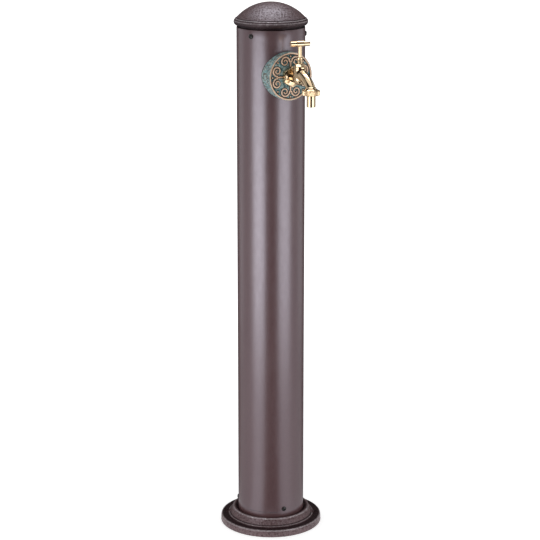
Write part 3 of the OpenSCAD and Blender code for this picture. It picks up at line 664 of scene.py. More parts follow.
def brass(name, colours):
    """Polished brass: a faint ripple from the polishing wheel, and fine turning marks where it was turned."""
    roughness, ripple, axis = BRASS_SURFACES[name]
    finish = Finish(name, {"Metallic": 1.0})
    haze = finish.grain(7 * MM, 4, 0.6)
    specks = finish.grain(0.7 * MM, 3, 0.7)
    wave = finish.grain(5 * MM, 2)
    height = wave + specks * 0.15
    if axis is not None:
        stretched = [0.05, 0.05, 0.05]
        stretched[axis] = 1
        marks = finish.grain(0.35 * MM, 2, 0.5, finish.stretch(*stretched))
        height = height + marks * 0.25
    dull = (haze * 0.7 + specks * 0.35).ramp(0.5, 0.8)
    finish.wear({
        "Base Color": finish.mix(dull * 0.5, colours.brass, colours.brass_tarnish),
        "Roughness": dull * 0.12 + roughness,
        "Normal": finish.relief(height, ripple),
    })
    return finish.material


def plain_finish(name, colour, metallic, roughness, size, depth):
    """A hidden piece's finish: mottled colour and a fine skin."""
    finish = Finish(name, {"Metallic": metallic})
    mottle = finish.grain(size, 4, 0.6)
    fine = finish.grain(size / 6, 3, 0.6)
    finish.wear({
        "Base Color": finish.mix(mottle.ramp(0.3, 0.75), tuple(0.72 * c for c in colour), colour),
        "Roughness": roughness + fine * 0.15,
        "Normal": finish.relief(mottle + fine * 0.4, depth),
    })
    return finish.material


def finish_of(name, make, *values):
    """A material that several pieces may share, made at its first use."""
    return bpy.data.materials.get(name) or make(name, *values)


class STANDPIPE_OT_stage(bpy.types.Operator):
    """Makes the camera, the lamps, the white floor and the screens that paint and metal reflect"""

    bl_idname = "standpipe.stage"
    bl_label = "Stage"

    def execute(self, context):
        stage = context.scene.standpipe_stage
        context.scene.view_settings.view_transform = "Standard"
        self.camera(context, stage)
        self.lamps(context, stage)
        self.floor(stage)
        self.screens(stage)
        self.world(context, stage)
        return {"FINISHED"}

    def around(self, stage, degrees, away, height):
        """A point at an angle from the camera's side of the column."""
        angle = stage.camera_turn + math.radians(degrees)
        return Vector((away * math.sin(angle), -away * math.cos(angle), height))

    def camera(self, context, stage):
        """The camera, aimed a little aside so that the column's axis falls on its pixel."""
        lens = bpy.data.cameras.new("camera")
        lens.sensor_width = SENSOR
        lens.lens = SENSOR * stage.focal_pixels / IMAGE_SIZE
        aside = math.atan((stage.axis_pixel - IMAGE_SIZE / 2) / stage.focal_pixels)
        thing = bpy.data.objects.new("camera", lens)
        thing.location = self.around(stage, 0, stage.camera_away, stage.camera_z)
        turn = Matrix.Rotation(stage.camera_turn + aside, 3, "Z")
        tilt = Matrix.Rotation(math.pi / 2 - stage.camera_pitch, 3, "X")
        thing.rotation_euler = (turn @ tilt).to_euler()
        context.scene.collection.objects.link(thing)
        context.scene.camera = thing

    def lamps(self, context, stage):
        """Two soft boxes beside the camera and a broad one overhead."""
        level, down = math.pi / 2, 0
        for name, degrees, away, height, tilt, size, radiance in (
                ("left_box", -39.5, 1.2, 0.42, level, (0.80, 0.80), stage.left),
                ("right_box", 45, 1.2, 0.42, level, (0.82, 0.80), stage.right),
                ("top_box", 180, 0.3, 1.9, down, (0.8, 0.5), stage.top)):
            light = bpy.data.lights.new(name, "AREA")
            light.shape = "RECTANGLE"
            light.size, light.size_y = size
            light.energy = radiance * math.pi * size[0] * size[1]
            light.color = stage.lamp_tint
            thing = bpy.data.objects.new(name, light)
            thing.location = self.around(stage, degrees, away, height)
            thing.rotation_euler = (tilt, 0, stage.camera_turn + math.radians(degrees))
            thing.visible_camera = False
            context.scene.collection.objects.link(thing)

    def floor(self, stage):
        """A wide pale floor that glows white to the camera and in reflections, and keeps the shadow."""
        finish = Finish("floor", {"Roughness": 0.9, "Specular IOR Level": 0.0, "Emission Strength": 1.0})
        seen = finish.background_ray()
        away = finish.length_of(finish.place)
        glow = away.ramp(0.25, 1.3) * (1 - stage.floor_glow) + stage.floor_glow
        finish.wear({
            "Base Color": finish.mix(seen * (1 - stage.floor_shadow), stage.floor, (0, 0, 0)),
            "Emission Color": finish.mix(seen * glow, (0, 0, 0), (1, 1, 1)),
        })
        shape = bmesh.new()
        bmesh.ops.create_grid(shape, x_segments=8, y_segments=8, size=40)
        mesh = mesh_from(shape)
        mesh.materials.append(finish.material)
        loose(mesh, "floor")

    def screens(self, stage):
        """The screens: name, grey, first and last angle from the camera, profile of (distance, height)."""
        wall = ((1.4, 0.004), (1.4, 2.0))
        high = ((1.4, 2.0), (1.4, 3.4))
        for name, grey, start, stop, profile in (
                ("ground", 0.43, -132, 132, ((0.12, 0.004), (1.4, 0.004))),
                ("ground_left", 0.76, -60, -27, ((0.12, 0.005), (1.2, 0.005))),
                ("ground_right", 0.58, 30, 68, ((0.12, 0.005), (1.2, 0.005))),
                ("front", 0.01, -20, 25, ((0.12, 0.006), (1.6, 0.006), (1.6, 2.0))),
                ("above", 0.02, -75, 75, ((1.3, 0.86), (1.3, 2.4))),
                ("left", 0.35, -104, -64, wall),
                ("far_left", 0.65, -132, -104, wall),
                ("right", 0.35, 68, 104, wall),
                ("far_right", 0.65, 104, 132, wall),
                ("high_left", 0.05, -132, -75, high),
                ("high_right", 0.05, 75, 132, high),
                ("back", 0.08, 132, 228, ((0.12, 0.004), (1.2, 0.004), (1.2, 3.0)))):
            self.add_screen(stage, f"screen_{name}", grey, start, stop, profile)

    def add_screen(self, stage, name, grey, start, stop, profile):
        """One screen, swept round the column and seen only in reflections."""
        finish = Finish(name, {
            "Base Color": (0, 0, 0), "Specular IOR Level": 0.0, "Emission Color": (grey, grey, grey),
            "Emission Strength": 1.0})
        steps = 16
        shape = bmesh.new()
        rows = [[shape.verts.new(self.around(stage, start + (stop - start) * k / steps, away, z))
                 for k in range(steps + 1)] for away, z in profile]
        for near, far in zip(rows, rows[1:]):
            for k in range(steps):
                shape.faces.new((near[k], near[k + 1], far[k + 1], far[k]))
        mesh = mesh_from(shape)
        mesh.materials.append(finish.material)
        screen = loose(mesh, name)
        screen.visible_camera = False
        screen.visible_diffuse = False
        screen.visible_shadow = False

    def world(self, context, stage):
        """Soft fill for the object, and plain white for what the camera and reflections see."""
        world = bpy.data.worlds.new("studio")
        world.use_nodes = True
        context.scene.world = world
        graph = Graph(world.node_tree)
        background = graph.tree.nodes["Background"].inputs
        graph.put(background["Color"], (1, 1, 1))
        graph.put(background["Strength"], graph.background_ray() * (1 - stage.fill) + stage.fill)


class STANDPIPE_OT_column(bpy.types.Operator):
    """Makes the painted tube with rounded ends"""

    bl_idname = "standpipe.column"
    bl_label = "Column"

    def execute(self, context):
        sizes = context.scene.standpipe_column
        inner = TUBE_R - sizes.tube_wall
        edge = sizes.tube_edge
        outline = rounded([(TUBE_R, TUBE_LOW, edge), (TUBE_R, TUBE_TOP, edge), (inner, TUBE_TOP, edge),
                           (inner, TUBE_LOW, edge)], closed=True, steps=4)
        mesh = turned(spaced(outline, 12 * MM, closed=True), 192, closed=True)
        finish = finish_of("satin_paint", satin_paint, context.scene.standpipe_colours, sizes)
        piece("painted_tube", mesh, finish, "column", "column_paint", "column_tube")
        return {"FINISHED"}


class STANDPIPE_OT_base(bpy.types.Operator):
    """Makes the cast base: plate, collar, groove, spigot and spot-faced anchor holes"""

    bl_idname = "standpipe.base"
    bl_label = "Base"

    def execute(self, context):
        sizes = context.scene.standpipe_column
        mesh = turned(spaced(self.outline(sizes), 1.3 * MM, closed=True), 420, closed=True)
        mesh = roughened(mesh, sizes.grain, 2.4 * MM, 3)
        for side in (0, math.pi):
            mesh = combined(mesh, self.anchor_cut(sizes, sizes.anchor_turn + side), "DIFFERENCE")
        colours = context.scene.standpipe_colours
        finish = finish_of("sand_cast_base", sand_cast_paint, colours, colours.base_sheen, *self.wear(sizes))
        piece("cast_base", crisp(mesh, 50), finish, "column", "cast_paint", "base_flange")
        return {"FINISHED"}

    def outline(self, sizes):
        """Outline of the plate, the collar and the spigot, from the opening's lower edge on."""
        spigot_top = corner("base_flange", 1, 2)
        spigot_r = TUBE_R - sizes.tube_wall - sizes.spigot_gap
        groove_r = TUBE_R + sizes.groove_gap
        lip_z = sizes.plate_thick + sizes.lip_rise
        slope_in, slope_out = sizes.crest_r + 2.2 * MM, sizes.foot_r - 2.4 * MM
        draft = 0.7 * MM
        return rounded([
            (sizes.opening_r, 0, 0.6 * MM),
            (PLATE_R, 0, 1.1 * MM),
            (PLATE_R - draft, sizes.plate_thick, sizes.plate_edge),
            (sizes.foot_r + 0.3 * MM, sizes.plate_thick, 0.5 * MM),
            (sizes.foot_r, lip_z, 0.9 * MM),
            (slope_out, lip_z - 0.4 * MM, 1.2 * MM),
            (slope_out - 2.2 * MM, lip_z + 3.6 * MM, 5 * MM),
            (slope_in + 0.9 * MM, sizes.crest_z - 5 * MM, 5 * MM),
            (slope_in - 0.3 * MM, sizes.crest_z, 2 * MM),
            (sizes.crest_r - 1.6 * MM, sizes.crest_z, 1.6 * MM),
            (groove_r, sizes.crest_z - 3 * MM, 0.8 * MM),
            (groove_r, TUBE_LOW, 0.3 * MM),
            (spigot_r, TUBE_LOW, 0.3 * MM),
            (spigot_r, spigot_top, 1 * MM),
            (spigot_r - sizes.spigot_wall, spigot_top, 0.6 * MM),
            (spigot_r - sizes.spigot_wall, sizes.plate_thick, 1 * MM),
            (sizes.opening_r, sizes.plate_thick, 0.6 * MM)], closed=True)

    def wear(self, sizes):
        """Rings of painted shade in hollows, and rings where edges are painted lighter, part wear and part
        painted highlight.
        """
        plate_z = sizes.plate_thick
        lip_z = plate_z + sizes.lip_rise
        ledge_r = (PLATE_R + sizes.foot_r) / 2 - 1 * MM
        ledge_half = (PLATE_R - sizes.foot_r) / 2
        # Painted shade on the plate's ledge, at the collar's foot and on the collar's inner slope by the
        # tube.
        shaded_hollows = ((ledge_r, plate_z, ledge_half, 2 * MM),
                   (sizes.foot_r - 3 * MM, lip_z, 1.6 * MM, 1.6 * MM),
                   (TUBE_R + 2 * MM, sizes.crest_z - 2 * MM, 5 * MM, 3 * MM))
        # Painted highlight, partly wear, on the plate's upper edge, the collar's lip and its crest.
        edges = ((PLATE_R - 2.2 * MM, plate_z - 1.2 * MM, 2 * MM, 1.8 * MM),
                 (sizes.foot_r - 0.8 * MM, lip_z, 1.2 * MM, 0.9 * MM),
                 (sizes.crest_r + 1.4 * MM, sizes.crest_z - 0.6 * MM, 2 * MM, 1.6 * MM))
        return shaded_hollows, edges

    def anchor_cut(self, sizes, angle):
        """A stepped cutter: the bolt hole and, above the plate, the spot face."""
        under = -5 * MM
        seat = sizes.plate_thick - 0.5 * MM
        top = sizes.crest_z + 5 * MM
        outline = rounded([
            (0, under, 0),
            (sizes.anchor_hole, under, 0),
            (sizes.anchor_hole, seat, 0.4 * MM),
            (sizes.anchor_face, seat, 0.5 * MM),
            (sizes.anchor_face, top, 0),
            (0, top, 0)], steps=3)
        x, y = sizes.anchor_r * math.sin(angle), -sizes.anchor_r * math.cos(angle)
        return moved(turned(outline, 48), x, y, 0)


class STANDPIPE_OT_cap(bpy.types.Operator):
    """Makes the cast cap: dome, half-round bead, shadow gap and spigot"""

    bl_idname = "standpipe.cap"
    bl_label = "Cap"

    def execute(self, context):
        sizes = context.scene.standpipe_column
        mesh = turned(spaced(self.outline(sizes), 1.2 * MM), 400)
        mesh = roughened(mesh, sizes.grain, 2.2 * MM, 8)
        colours = context.scene.standpipe_colours
        finish = finish_of("sand_cast_cap", sand_cast_paint, colours, colours.cap_sheen, *self.wear(sizes))
        piece("cast_cap", mesh, finish, "column", "cast_paint", "dome_cap")
        return {"FINISHED"}

    def places(self, sizes):
        """Radius and height of the dome's foot, and then of the bead's middle."""
        foot_r, foot_z = TUBE_R + sizes.dome_foot_out, TUBE_TOP + sizes.dome_foot_z
        bead_c, bead_z = TUBE_R + sizes.bead_out - sizes.bead_r, TUBE_TOP + sizes.bead_z
        return foot_r, foot_z, bead_c, bead_z

    def outline(self, sizes):
        """Outline of the dome, the bead, the shadow gap, the spigot and the underside, from the top on."""
        foot_r, foot_z, bead_c, bead_z = self.places(sizes)
        rise = APEX - foot_z
        dome_r = (foot_r ** 2 + rise ** 2) / (2 * rise)
        centre_z = APEX - dome_r
        foot_angle = math.atan2(foot_z - centre_z, foot_r)
        spigot_r = TUBE_R - sizes.tube_wall - sizes.spigot_gap
        spigot_low = corner("dome_cap", 0, 2)
        inner_r = spigot_r - sizes.spigot_wall
        inner_dome = dome_r - sizes.cap_wall

        def arc(radius, start, stop, steps):
            return [Vector((radius * math.cos(a), centre_z + radius * math.sin(a)))
                    for a in np.linspace(start, stop, steps)]

        outer = arc(dome_r, math.pi / 2, foot_angle, 40)
        outer[0].x = 0
        crease = [Vector((foot_r - 0.5 * MM, foot_z - 1.5 * MM))]
        bead = []
        for degrees in range(58, -65, -4):
            groove = sizes.bead_groove * math.exp(-((degrees - 33) / 7) ** 2)
            reach, angle = sizes.bead_r - groove, math.radians(degrees)
            bead.append(Vector((bead_c + reach * math.cos(angle), bead_z + reach * math.sin(angle))))
        recess_r, recess_z = spigot_r - sizes.gap_depth, TUBE_TOP - 1 * MM
        neck = rounded([
            (*bead[-1], 0),
            (recess_r, bead[-1].y, 0.4 * MM),
            (recess_r, recess_z, 0.4 * MM),
            (spigot_r, recess_z, 0.2 * MM),
            (spigot_r, spigot_low, 0.6 * MM),
            (inner_r, spigot_low, 0.6 * MM),
            (inner_r, TUBE_TOP, 0)])
        top_angle = math.acos(inner_r / inner_dome)
        under = arc(inner_dome, top_angle, math.pi / 2, 16)
        under[-1].x = 0
        return outer + crease + bead + neck[1:] + under

    def wear(self, sizes):
        """Rings of painted shade in hollows, and rings where edges are painted lighter, part wear and part
        painted highlight.
        """
        foot_r, foot_z, bead_c, bead_z = self.places(sizes)
        # Painted shade in the crease under the dome, in the bead's groove and under the bead.
        shaded_hollows = ((foot_r, foot_z - 1 * MM, 1.3 * MM, 1.3 * MM),
                   (bead_c + 5.8 * MM, bead_z + 3.8 * MM, 1 * MM, 1 * MM),
                   (bead_c + 2 * MM, bead_z - sizes.bead_r, 11 * MM, 10 * MM))
        # Painted highlight, partly wear, on the bead's top and its outer face.
        edges = ((bead_c + 4.6 * MM, bead_z + 5.6 * MM, 1.3 * MM, 1 * MM),
                 (bead_c + 7 * MM, bead_z + 1.6 * MM, 1 * MM, 0.9 * MM))
        return shaded_hollows, edges


class STANDPIPE_OT_screws(bpy.types.Operator):
    """Makes the pan-head screws that hold the tube to the base and the cap"""

    bl_idname = "standpipe.screws"
    bl_label = "Screws"

    def execute(self, context):
        sizes = context.scene.standpipe_column
        finish = finish_of("screw_paint", screw_paint, context.scene.standpipe_colours)
        for where, first in (("base", sizes.base_screw_turn), ("cap", sizes.cap_screw_turn)):
            height = middle(f"{where}_screws", 2)
            screws = [self.screw(sizes, first + TAU * k / sizes.screw_count, height, 0.35 + 0.9 * k)
                      for k in range(sizes.screw_count)]
            piece(f"{where}_screw_heads", joined(*screws), finish, "column", "black_screw", f"{where}_screws")
        return {"FINISHED"}

    def screw(self, sizes, angle, height, twist):
        """One screw: a rounded pan head with a cross recess, and its shank."""
        radius, rise = sizes.screw_head_r, sizes.screw_head_h
        shank_r, shank, seat = 2.5 * MM, 10 * MM, 0.05 * MM
        head = turned(rounded([
            (0, -shank, 0),
            (shank_r, -shank, 0.8 * MM),
            (shank_r, seat, 0),
            (radius, seat, 0.3 * MM),
            (radius, 0.55 * rise, 1.3 * MM),
            (0.55 * radius, rise, 2 * MM),
            (0, rise, 0)]), 48)
        for turn in (0, math.pi / 2):
            shape = bmesh.new()
            bmesh.ops.create_cube(shape, size=1, matrix=Matrix.Diagonal((5 * MM, 1.3 * MM, 3 * MM, 1)))
            slot = moved(mesh_from(shape), 0, 0, rise)
            slot.transform(Matrix.Rotation(twist + turn, 4, "Z"))
            head = combined(head, slot, "DIFFERENCE")
        head = crisp(with_modifier(head, "BEVEL", width=0.12 * MM, segments=2, limit_method="ANGLE",
                                   angle_limit=math.radians(40)))
        along_tap(head, TUBE_R, height)
        head.transform(Matrix.Rotation(angle, 4, "Z"))
        return head


class STANDPIPE_OT_rosette(bpy.types.Operator):
    """Makes the rosette: a saddle-backed cup whose face carries scrolls, leaves and buds in relief"""

    bl_idname = "standpipe.rosette"
    bl_label = "Rosette"
    segments = 640

    def execute(self, context):
        sizes = context.scene.standpipe_rosette
        columns = [np.array(column)[:, None] for column in zip(*self.rows(sizes))]
        radius, along, plate, face, side, contact_shade = columns
        angles = np.arange(self.segments) * TAU / self.segments
        x, y = radius * np.cos(angles), radius * np.sin(angles)
        saddle = np.sqrt((TUBE_R + 0.1 * MM) ** 2 - x ** 2)
        reach = np.where(plate > 0, FACE_REACH - plate, saddle + (FACE_REACH - saddle) * along)
        ridge, corner_patina_and_shade = self.ornament(sizes, x, y)
        reach = reach + face * (ridge - 1) * sizes.field_depth
        points = np.stack([x, y, reach], axis=-1)
        every = np.ones_like(x)
        mesh = self.woven(points, {"ridge": ridge * face, "corner": corner_patina_and_shade * face + contact_shade, "side": side * every})
        mesh = self.pitted(along_tap(mesh, 0, INLET_Z), sizes)
        finish = finish_of("verdigris", verdigris, context.scene.standpipe_colours)
        piece("scroll_rosette", mesh, finish, "column", "verdigris_bronze", "rosette")
        return {"FINISHED"}

    def rows(self, sizes):
        """Rings of the cup: radius, share from saddle to face, depth below it, on face, on side, painted
        contact shade.
        """
        outer, inner = ROSETTE_R, ROSETTE_R - sizes.wall
        face = [(r, 1, 0, 1, 0, 0) for r in np.linspace(sizes.bore, outer - 0.5 * MM, 112)]
        edge = [(outer - 0.5 * MM * (1 - math.sin(a)), 1 - 0.04 * (1 - math.cos(a)), 0, 0, 0.3, 0)
                for a in np.linspace(0.3, math.pi / 2, 4)]
        # The skirt darkens towards the tube as painted contact shade.
        side = [(outer, share, 0, 0, 1, max(0, 1 - share / 0.12)) for share in np.linspace(0.93, 0, 44)]
        back = [(inner, share, 0, 0, 1, 0) for share in np.linspace(0, 0.6, 6)]
        plate = [(r, 1, sizes.plate, 0, 1, 0) for r in (inner, sizes.bore)]
        return face + edge + side + back + plate

    def woven(self, points, marks):
        """A closed mesh from rings of points, with its marks as point attributes."""
        count, segments = points.shape[:2]
        index = np.arange(count * segments).reshape(count, segments)
        after = np.roll(index, -1, axis=1)
        ahead, ahead_after = np.roll(index, -1, axis=0), np.roll(after, -1, axis=0)
        faces = np.stack([index, after, ahead_after, ahead], axis=-1).reshape(-1, 4)
        mesh = bpy.data.meshes.new("rosette")
        mesh.from_pydata(points.reshape(-1, 3).tolist(), [], faces.tolist())
        shape = bmesh.new()
        shape.from_mesh(mesh)
        bpy.data.meshes.remove(mesh)
        mesh = mesh_from(shape)
        for name, values in marks.items():
            attribute = mesh.attributes.new(name, "FLOAT", "POINT")
            attribute.data.foreach_set("value", values.astype(np.float32).ravel())
        return mesh

    def pitted(self, mesh, sizes):
        """Gives the casting a fine uneven skin."""
        normals = [v.normal.copy() for v in mesh.vertices]
        for v, normal in zip(mesh.vertices, normals):
            v.co += normal * sizes.grain * noise.fractal(v.co / (1.9 * MM), 0.6, 2.2, 3)
        return mesh

    def scroll_lines(self, sizes):
        """Middle lines of the scrolls as points with the rib's half width at each."""
        lines = []
        spread = math.pi / (2 * sizes.pairs)
        for pair in range(sizes.pairs):
            for side in (-1, 1):
                axis = math.pi / 2 + TAU * pair / sizes.pairs
                centre = Matrix.Rotation(axis + side * spread, 2) @ Vector((sizes.scroll_ring, 0))
                for t in np.linspace(0, 1, 220):
                    turn = axis + side * (TAU * sizes.scroll_turns * t - math.pi / 2)
                    reach = (sizes.scroll_r - sizes.scroll_width / 2) * (1 - t) + sizes.scroll_eye * t
                    point = centre + Vector((math.cos(turn), math.sin(turn))) * reach
                    lines.append((point, sizes.scroll_width / 2 * (1 - 0.3 * t)))
        return lines

    def ornament(self, sizes, x, y):
        """Height of the relief from 0 on the field to 1 on the rim, and the darkening of its corners, partly
        patina and partly painted shade.
        """
        lines = self.scroll_lines(sizes)
        tree = KDTree(len(lines))
        for i, (point, _) in enumerate(lines):
            tree.insert((*point, 0), i)
        tree.balance()
        nearest = [tree.find((a, b, 0)) for a, b in zip(x.ravel(), y.ravel())]
        scroll = np.array([hit[2] for hit in nearest]).reshape(x.shape)
        scroll_half = np.array([lines[hit[1]][1] for hit in nearest]).reshape(x.shape)
        radius, angle = np.hypot(x, y), np.arctan2(y, x)
        step = math.pi / sizes.pairs
        from_axis = (angle - math.pi / 2 + step) % (2 * step) - step
        from_bud = (angle - math.pi / 2 + step / 2) % step - step / 2
        along = (radius - sizes.leaf_in) / (sizes.leaf_out - sizes.leaf_in)
        on_leaf = (along > 0) & (along < 1)
        leaf = np.where(on_leaf, np.abs(radius * np.sin(from_axis)), sizes.leaf_out)
        leaf_half = sizes.leaf_width / 2 * np.sin(math.pi * np.clip(along, 0.02, 0.98)) ** 0.7
        bud = np.hypot(radius * np.cos(from_bud) - sizes.bud_ring, radius * np.sin(from_bud))
        rim = np.abs(radius - (ROSETTE_R - sizes.rim / 2))
        features = ((scroll, scroll_half, 1), (leaf, leaf_half, 0.85), (bud, sizes.bud_r, 0.8),
                    (rim, sizes.rim / 2, 1), (radius, sizes.hub_r, 1))
        ridge = np.max([height * self.swell(away / half) for away, half, height in features], axis=0)
        gap = np.min([away - half for away, half, _ in features], axis=0)
        # Darker beside ribs, leaves, buds, rim and hub: patina with painted shade.
        corner_patina_and_shade = np.clip(1.15 - gap / (1.5 * MM), 0, 1) * (1 - ridge)
        return ridge, corner_patina_and_shade

    def swell(self, share):
        """A rounded rib: 1 on its middle line and 0 from its edge on."""
        return np.clip(1 - share ** 2, 0, 1) ** 0.65


def soft_min(first, second, blend):
    """The smaller of two distances, rounded where they are alike."""
    share = np.clip(0.5 + 0.5 * (second - first) / blend, 0, 1)
    return second * (1 - share) + first * share - blend * share * (1 - share)


def rod_distance(points, start, stop, start_r, stop_r):
    """Distance of points from a round-ended tapering rod."""
    axis = stop - start
    share = np.clip((points - start) @ axis / (axis @ axis), 0, 1)
    from_axis = np.linalg.norm(points - start - share[:, None] * axis, axis=1)
    return from_axis - (start_r + (stop_r - start_r) * share)


def hexagon_rule(half, turn):
    """A rule for turned() that cuts a hexagon with slightly rounded corners out of the round outline."""
    sharp, soft = 70, 40

    def rule(angle, radius, height):
        flats = sum(max(0.0, math.cos(angle - turn - k * math.pi / 3)) ** sharp for k in range(6))
        hexagon = half * flats ** (-1 / sharp)
        return (hexagon ** -soft + radius ** -soft) ** (-1 / soft)
    return rule


class STANDPIPE_OT_tap_body(bpy.types.Operator):
    """Makes the tap body: hexagon, neck, valve chamber, spout and flared outlet, blended as one casting"""

    bl_idname = "standpipe.tap_body"
    bl_label = "Tap body"

    def execute(self, context):
        sizes = context.scene.standpipe_tap
        rods = self.rods(sizes)
        mesh = self.cast(sizes, rods)
        mesh = combined(mesh, self.hexagon(sizes), "UNION")
        mesh = combined(mesh, self.stub(sizes), "UNION")
        for cut in self.bores(sizes):
            mesh = combined(mesh, cut, "DIFFERENCE")
        finish = finish_of("cast_brass", brass, context.scene.standpipe_colours)
        piece("bib_tap", crisp(mesh, 42), finish, "column", "polished_brass", "tap_body")
        return {"FINISHED"}

    def at(self, reach, height):
        """A point in the tap's middle plane."""
        return np.array((0, -reach, height))

    def rods(self, sizes):
        """The tap's limbs as rods of start, stop and their radii."""
        hex_front = FACE_REACH + sizes.hex_thick
        bulb = INLET_Z - sizes.chamber_below + sizes.chamber_r
        rods = {
            "neck": [(self.at(hex_front - 4 * MM, INLET_Z), self.at(CHAMBER_REACH, INLET_Z),
                      sizes.neck_r, sizes.neck_end_r)],
            "chamber": [(self.at(CHAMBER_REACH, bulb), self.at(CHAMBER_REACH, CHAMBER_TOP + 8 * MM),
                         sizes.chamber_r, sizes.chamber_r)],
        }
        start = Vector((CHAMBER_REACH, CHAMBER_TOP - sizes.spout_drop))
        bend = Vector((OUTLET_REACH - sizes.bend_back, SKIRT_Z + sizes.bend_rise))
        stop = Vector((OUTLET_REACH, SKIRT_Z + 1 * MM))
        line = [start.lerp(bend, t).lerp(bend.lerp(stop, t), t) for t in np.linspace(0, 1, 15)]
        radii = np.linspace(sizes.spout_r, sizes.spout_end_r, len(line))
        rods["spout"] = [(self.at(*here), self.at(*there), here_r, there_r)
                         for here, there, here_r, there_r in zip(line, line[1:], radii, radii[1:])]
        return rods

    def distance(self, points, sizes, rods):
        """Distance of points from the blended limbs."""
        total = None
        for name in ("chamber", "neck", "spout"):
            limb = np.min([rod_distance(points, *rod) for rod in rods[name]], axis=0)
            total = limb if total is None else soft_min(total, limb, sizes.blend)
        radius = np.hypot(points[:, 0], points[:, 1] + OUTLET_REACH)
        rise = np.clip((points[:, 2] - SKIRT_Z) / sizes.skirt_rise, 0, 1)
        flare = sizes.spout_end_r + (sizes.skirt_r - sizes.spout_end_r) * (1 - rise) ** 1.6
        skirt = np.maximum(radius - flare, np.abs(points[:, 2] - SKIRT_Z) - sizes.skirt_rise)
        return soft_min(total, skirt, 1.4 * MM)

    def lumps(self, sizes, rods):
        """Balls along the limbs and the flared skirt, overlapping, for the remesh."""
        lumps = bmesh.new()
        for limbs in rods.values():
            for start, stop, start_r, stop_r in limbs:
                for t in np.linspace(0, 1, 9):
                    place = Matrix.Translation(start + (stop - start) * t)
                    radius = start_r + (stop_r - start_r) * t
                    bmesh.ops.create_icosphere(lumps, subdivisions=3, radius=radius, matrix=place)
        rise = sizes.skirt_rise
        skirt = turned([
            (0, -rise),
            (sizes.skirt_r, -rise),
            (sizes.skirt_r, 0),
            (sizes.skirt_r - 3 * MM, 0.35 * rise),
            (sizes.spout_end_r, rise),
            (0, rise)], 48)
        lumps.from_mesh(moved(skirt, 0, -OUTLET_REACH, SKIRT_Z))
        bpy.data.meshes.remove(skirt)
        return mesh_from(lumps)

    def cast(self, sizes, rods):
        """Meshes the limbs, draws every point on to their blend, and cuts the casting's two ends flat."""
        mesh = with_modifier(self.lumps(sizes, rods), "REMESH", mode="VOXEL", voxel_size=0.55 * MM)
        points = np.array([v.co for v in mesh.vertices])
        edges = np.array([e.vertices for e in mesh.edges])
        degree = np.bincount(edges.ravel(), minlength=len(points))[:, None]
        for _ in range(10):
            total = np.zeros_like(points)
            np.add.at(total, edges[:, 0], points[edges[:, 1]])
            np.add.at(total, edges[:, 1], points[edges[:, 0]])
            points = 0.5 * points + 0.5 * total / degree
            points = self.drawn(points, sizes, rods)
        mesh.vertices.foreach_set("co", points.ravel())
        shape = bmesh.new()
        shape.from_mesh(mesh)
        bpy.data.meshes.remove(mesh)
        for place, normal in (((0, 0, CHAMBER_TOP), (0, 0, 1)), ((0, 0, SKIRT_Z), (0, 0, -1))):
            cut = bmesh.ops.bisect_plane(shape, geom=shape.verts[:] + shape.edges[:] + shape.faces[:],
                                         plane_co=place, plane_no=normal, clear_outer=True)
            rim = [e for e in cut["geom_cut"] if isinstance(e, bmesh.types.BMEdge)]
            bmesh.ops.contextual_create(shape, geom=rim)
        return mesh_from(shape)

    def drawn(self, points, sizes, rods, step=0.02 * MM):
        """Moves points along the gradient on to the surface where the distance is 0."""
        for _ in range(2):
            here = self.distance(points, sizes, rods)
            ahead = [self.distance(points + step * axis, sizes, rods) for axis in np.eye(3)]
            slope = (np.stack(ahead, axis=1) - here[:, None]) / step
            points = points - slope * (here / np.maximum((slope ** 2).sum(axis=1), 0.2))[:, None]
        return points

    def hexagon(self, sizes):
        """The big hexagon, chamfered at its front."""
        far = 1.2 * sizes.hex_half
        thick = sizes.hex_thick
        outline = rounded([
            (0, 0, 0),
            (far, 0, 0.3 * MM),
            (far, thick - 2.4 * MM, 0.4 * MM),
            (sizes.hex_half + 0.9 * MM, thick - 1.2 * MM, 0.4 * MM),
            (sizes.neck_r, thick + 0.9 * MM, 0),
            (0, thick + 0.9 * MM, 0)], steps=3)
        mesh = turned(spaced(outline, 1 * MM), 180, rule=hexagon_rule(sizes.hex_half, 0))
        return along_tap(mesh, FACE_REACH, INLET_Z)

    def stub(self, sizes):
        """The outlet's thread, which the union nut covers."""
        low = corner("hose_washer", 1, 2)
        outline = [(0, low), (sizes.skirt_r - 0.4 * MM, low), (sizes.skirt_r, low + 0.4 * MM),
                   (sizes.skirt_r, SKIRT_Z + 0.5 * MM), (0, SKIRT_Z + 0.5 * MM)]
        return moved(turned(outline, 96), 0, -OUTLET_REACH, 0)

    def bores(self, sizes):
        """The chamber above the seat, the hole in the seat, the outlet's bore and the inlet's socket."""
        seat = INLET_Z + sizes.seat_above
        chamber = [(0, -8 * MM), (sizes.seat_bore, -8 * MM), (sizes.seat_bore, 0), (sizes.chamber_bore, 0),
                   (sizes.chamber_bore, CHAMBER_TOP - seat + 5 * MM), (0, CHAMBER_TOP - seat + 5 * MM)]
        yield moved(turned(chamber, 64), 0, -CHAMBER_REACH, seat)
        outlet = [(0, -10 * MM), (sizes.outlet_bore, -10 * MM), (sizes.outlet_bore, 0), (0, 3 * MM)]
        yield moved(turned(outlet, 64), 0, -OUTLET_REACH, SKIRT_Z)
        socket_r = corner("wall_nipple", 1, 0)
        socket = [(0, -5 * MM), (socket_r, -5 * MM), (socket_r, 9 * MM), (0, 9 * MM)]
        yield along_tap(turned(socket, 64), FACE_REACH, INLET_Z)


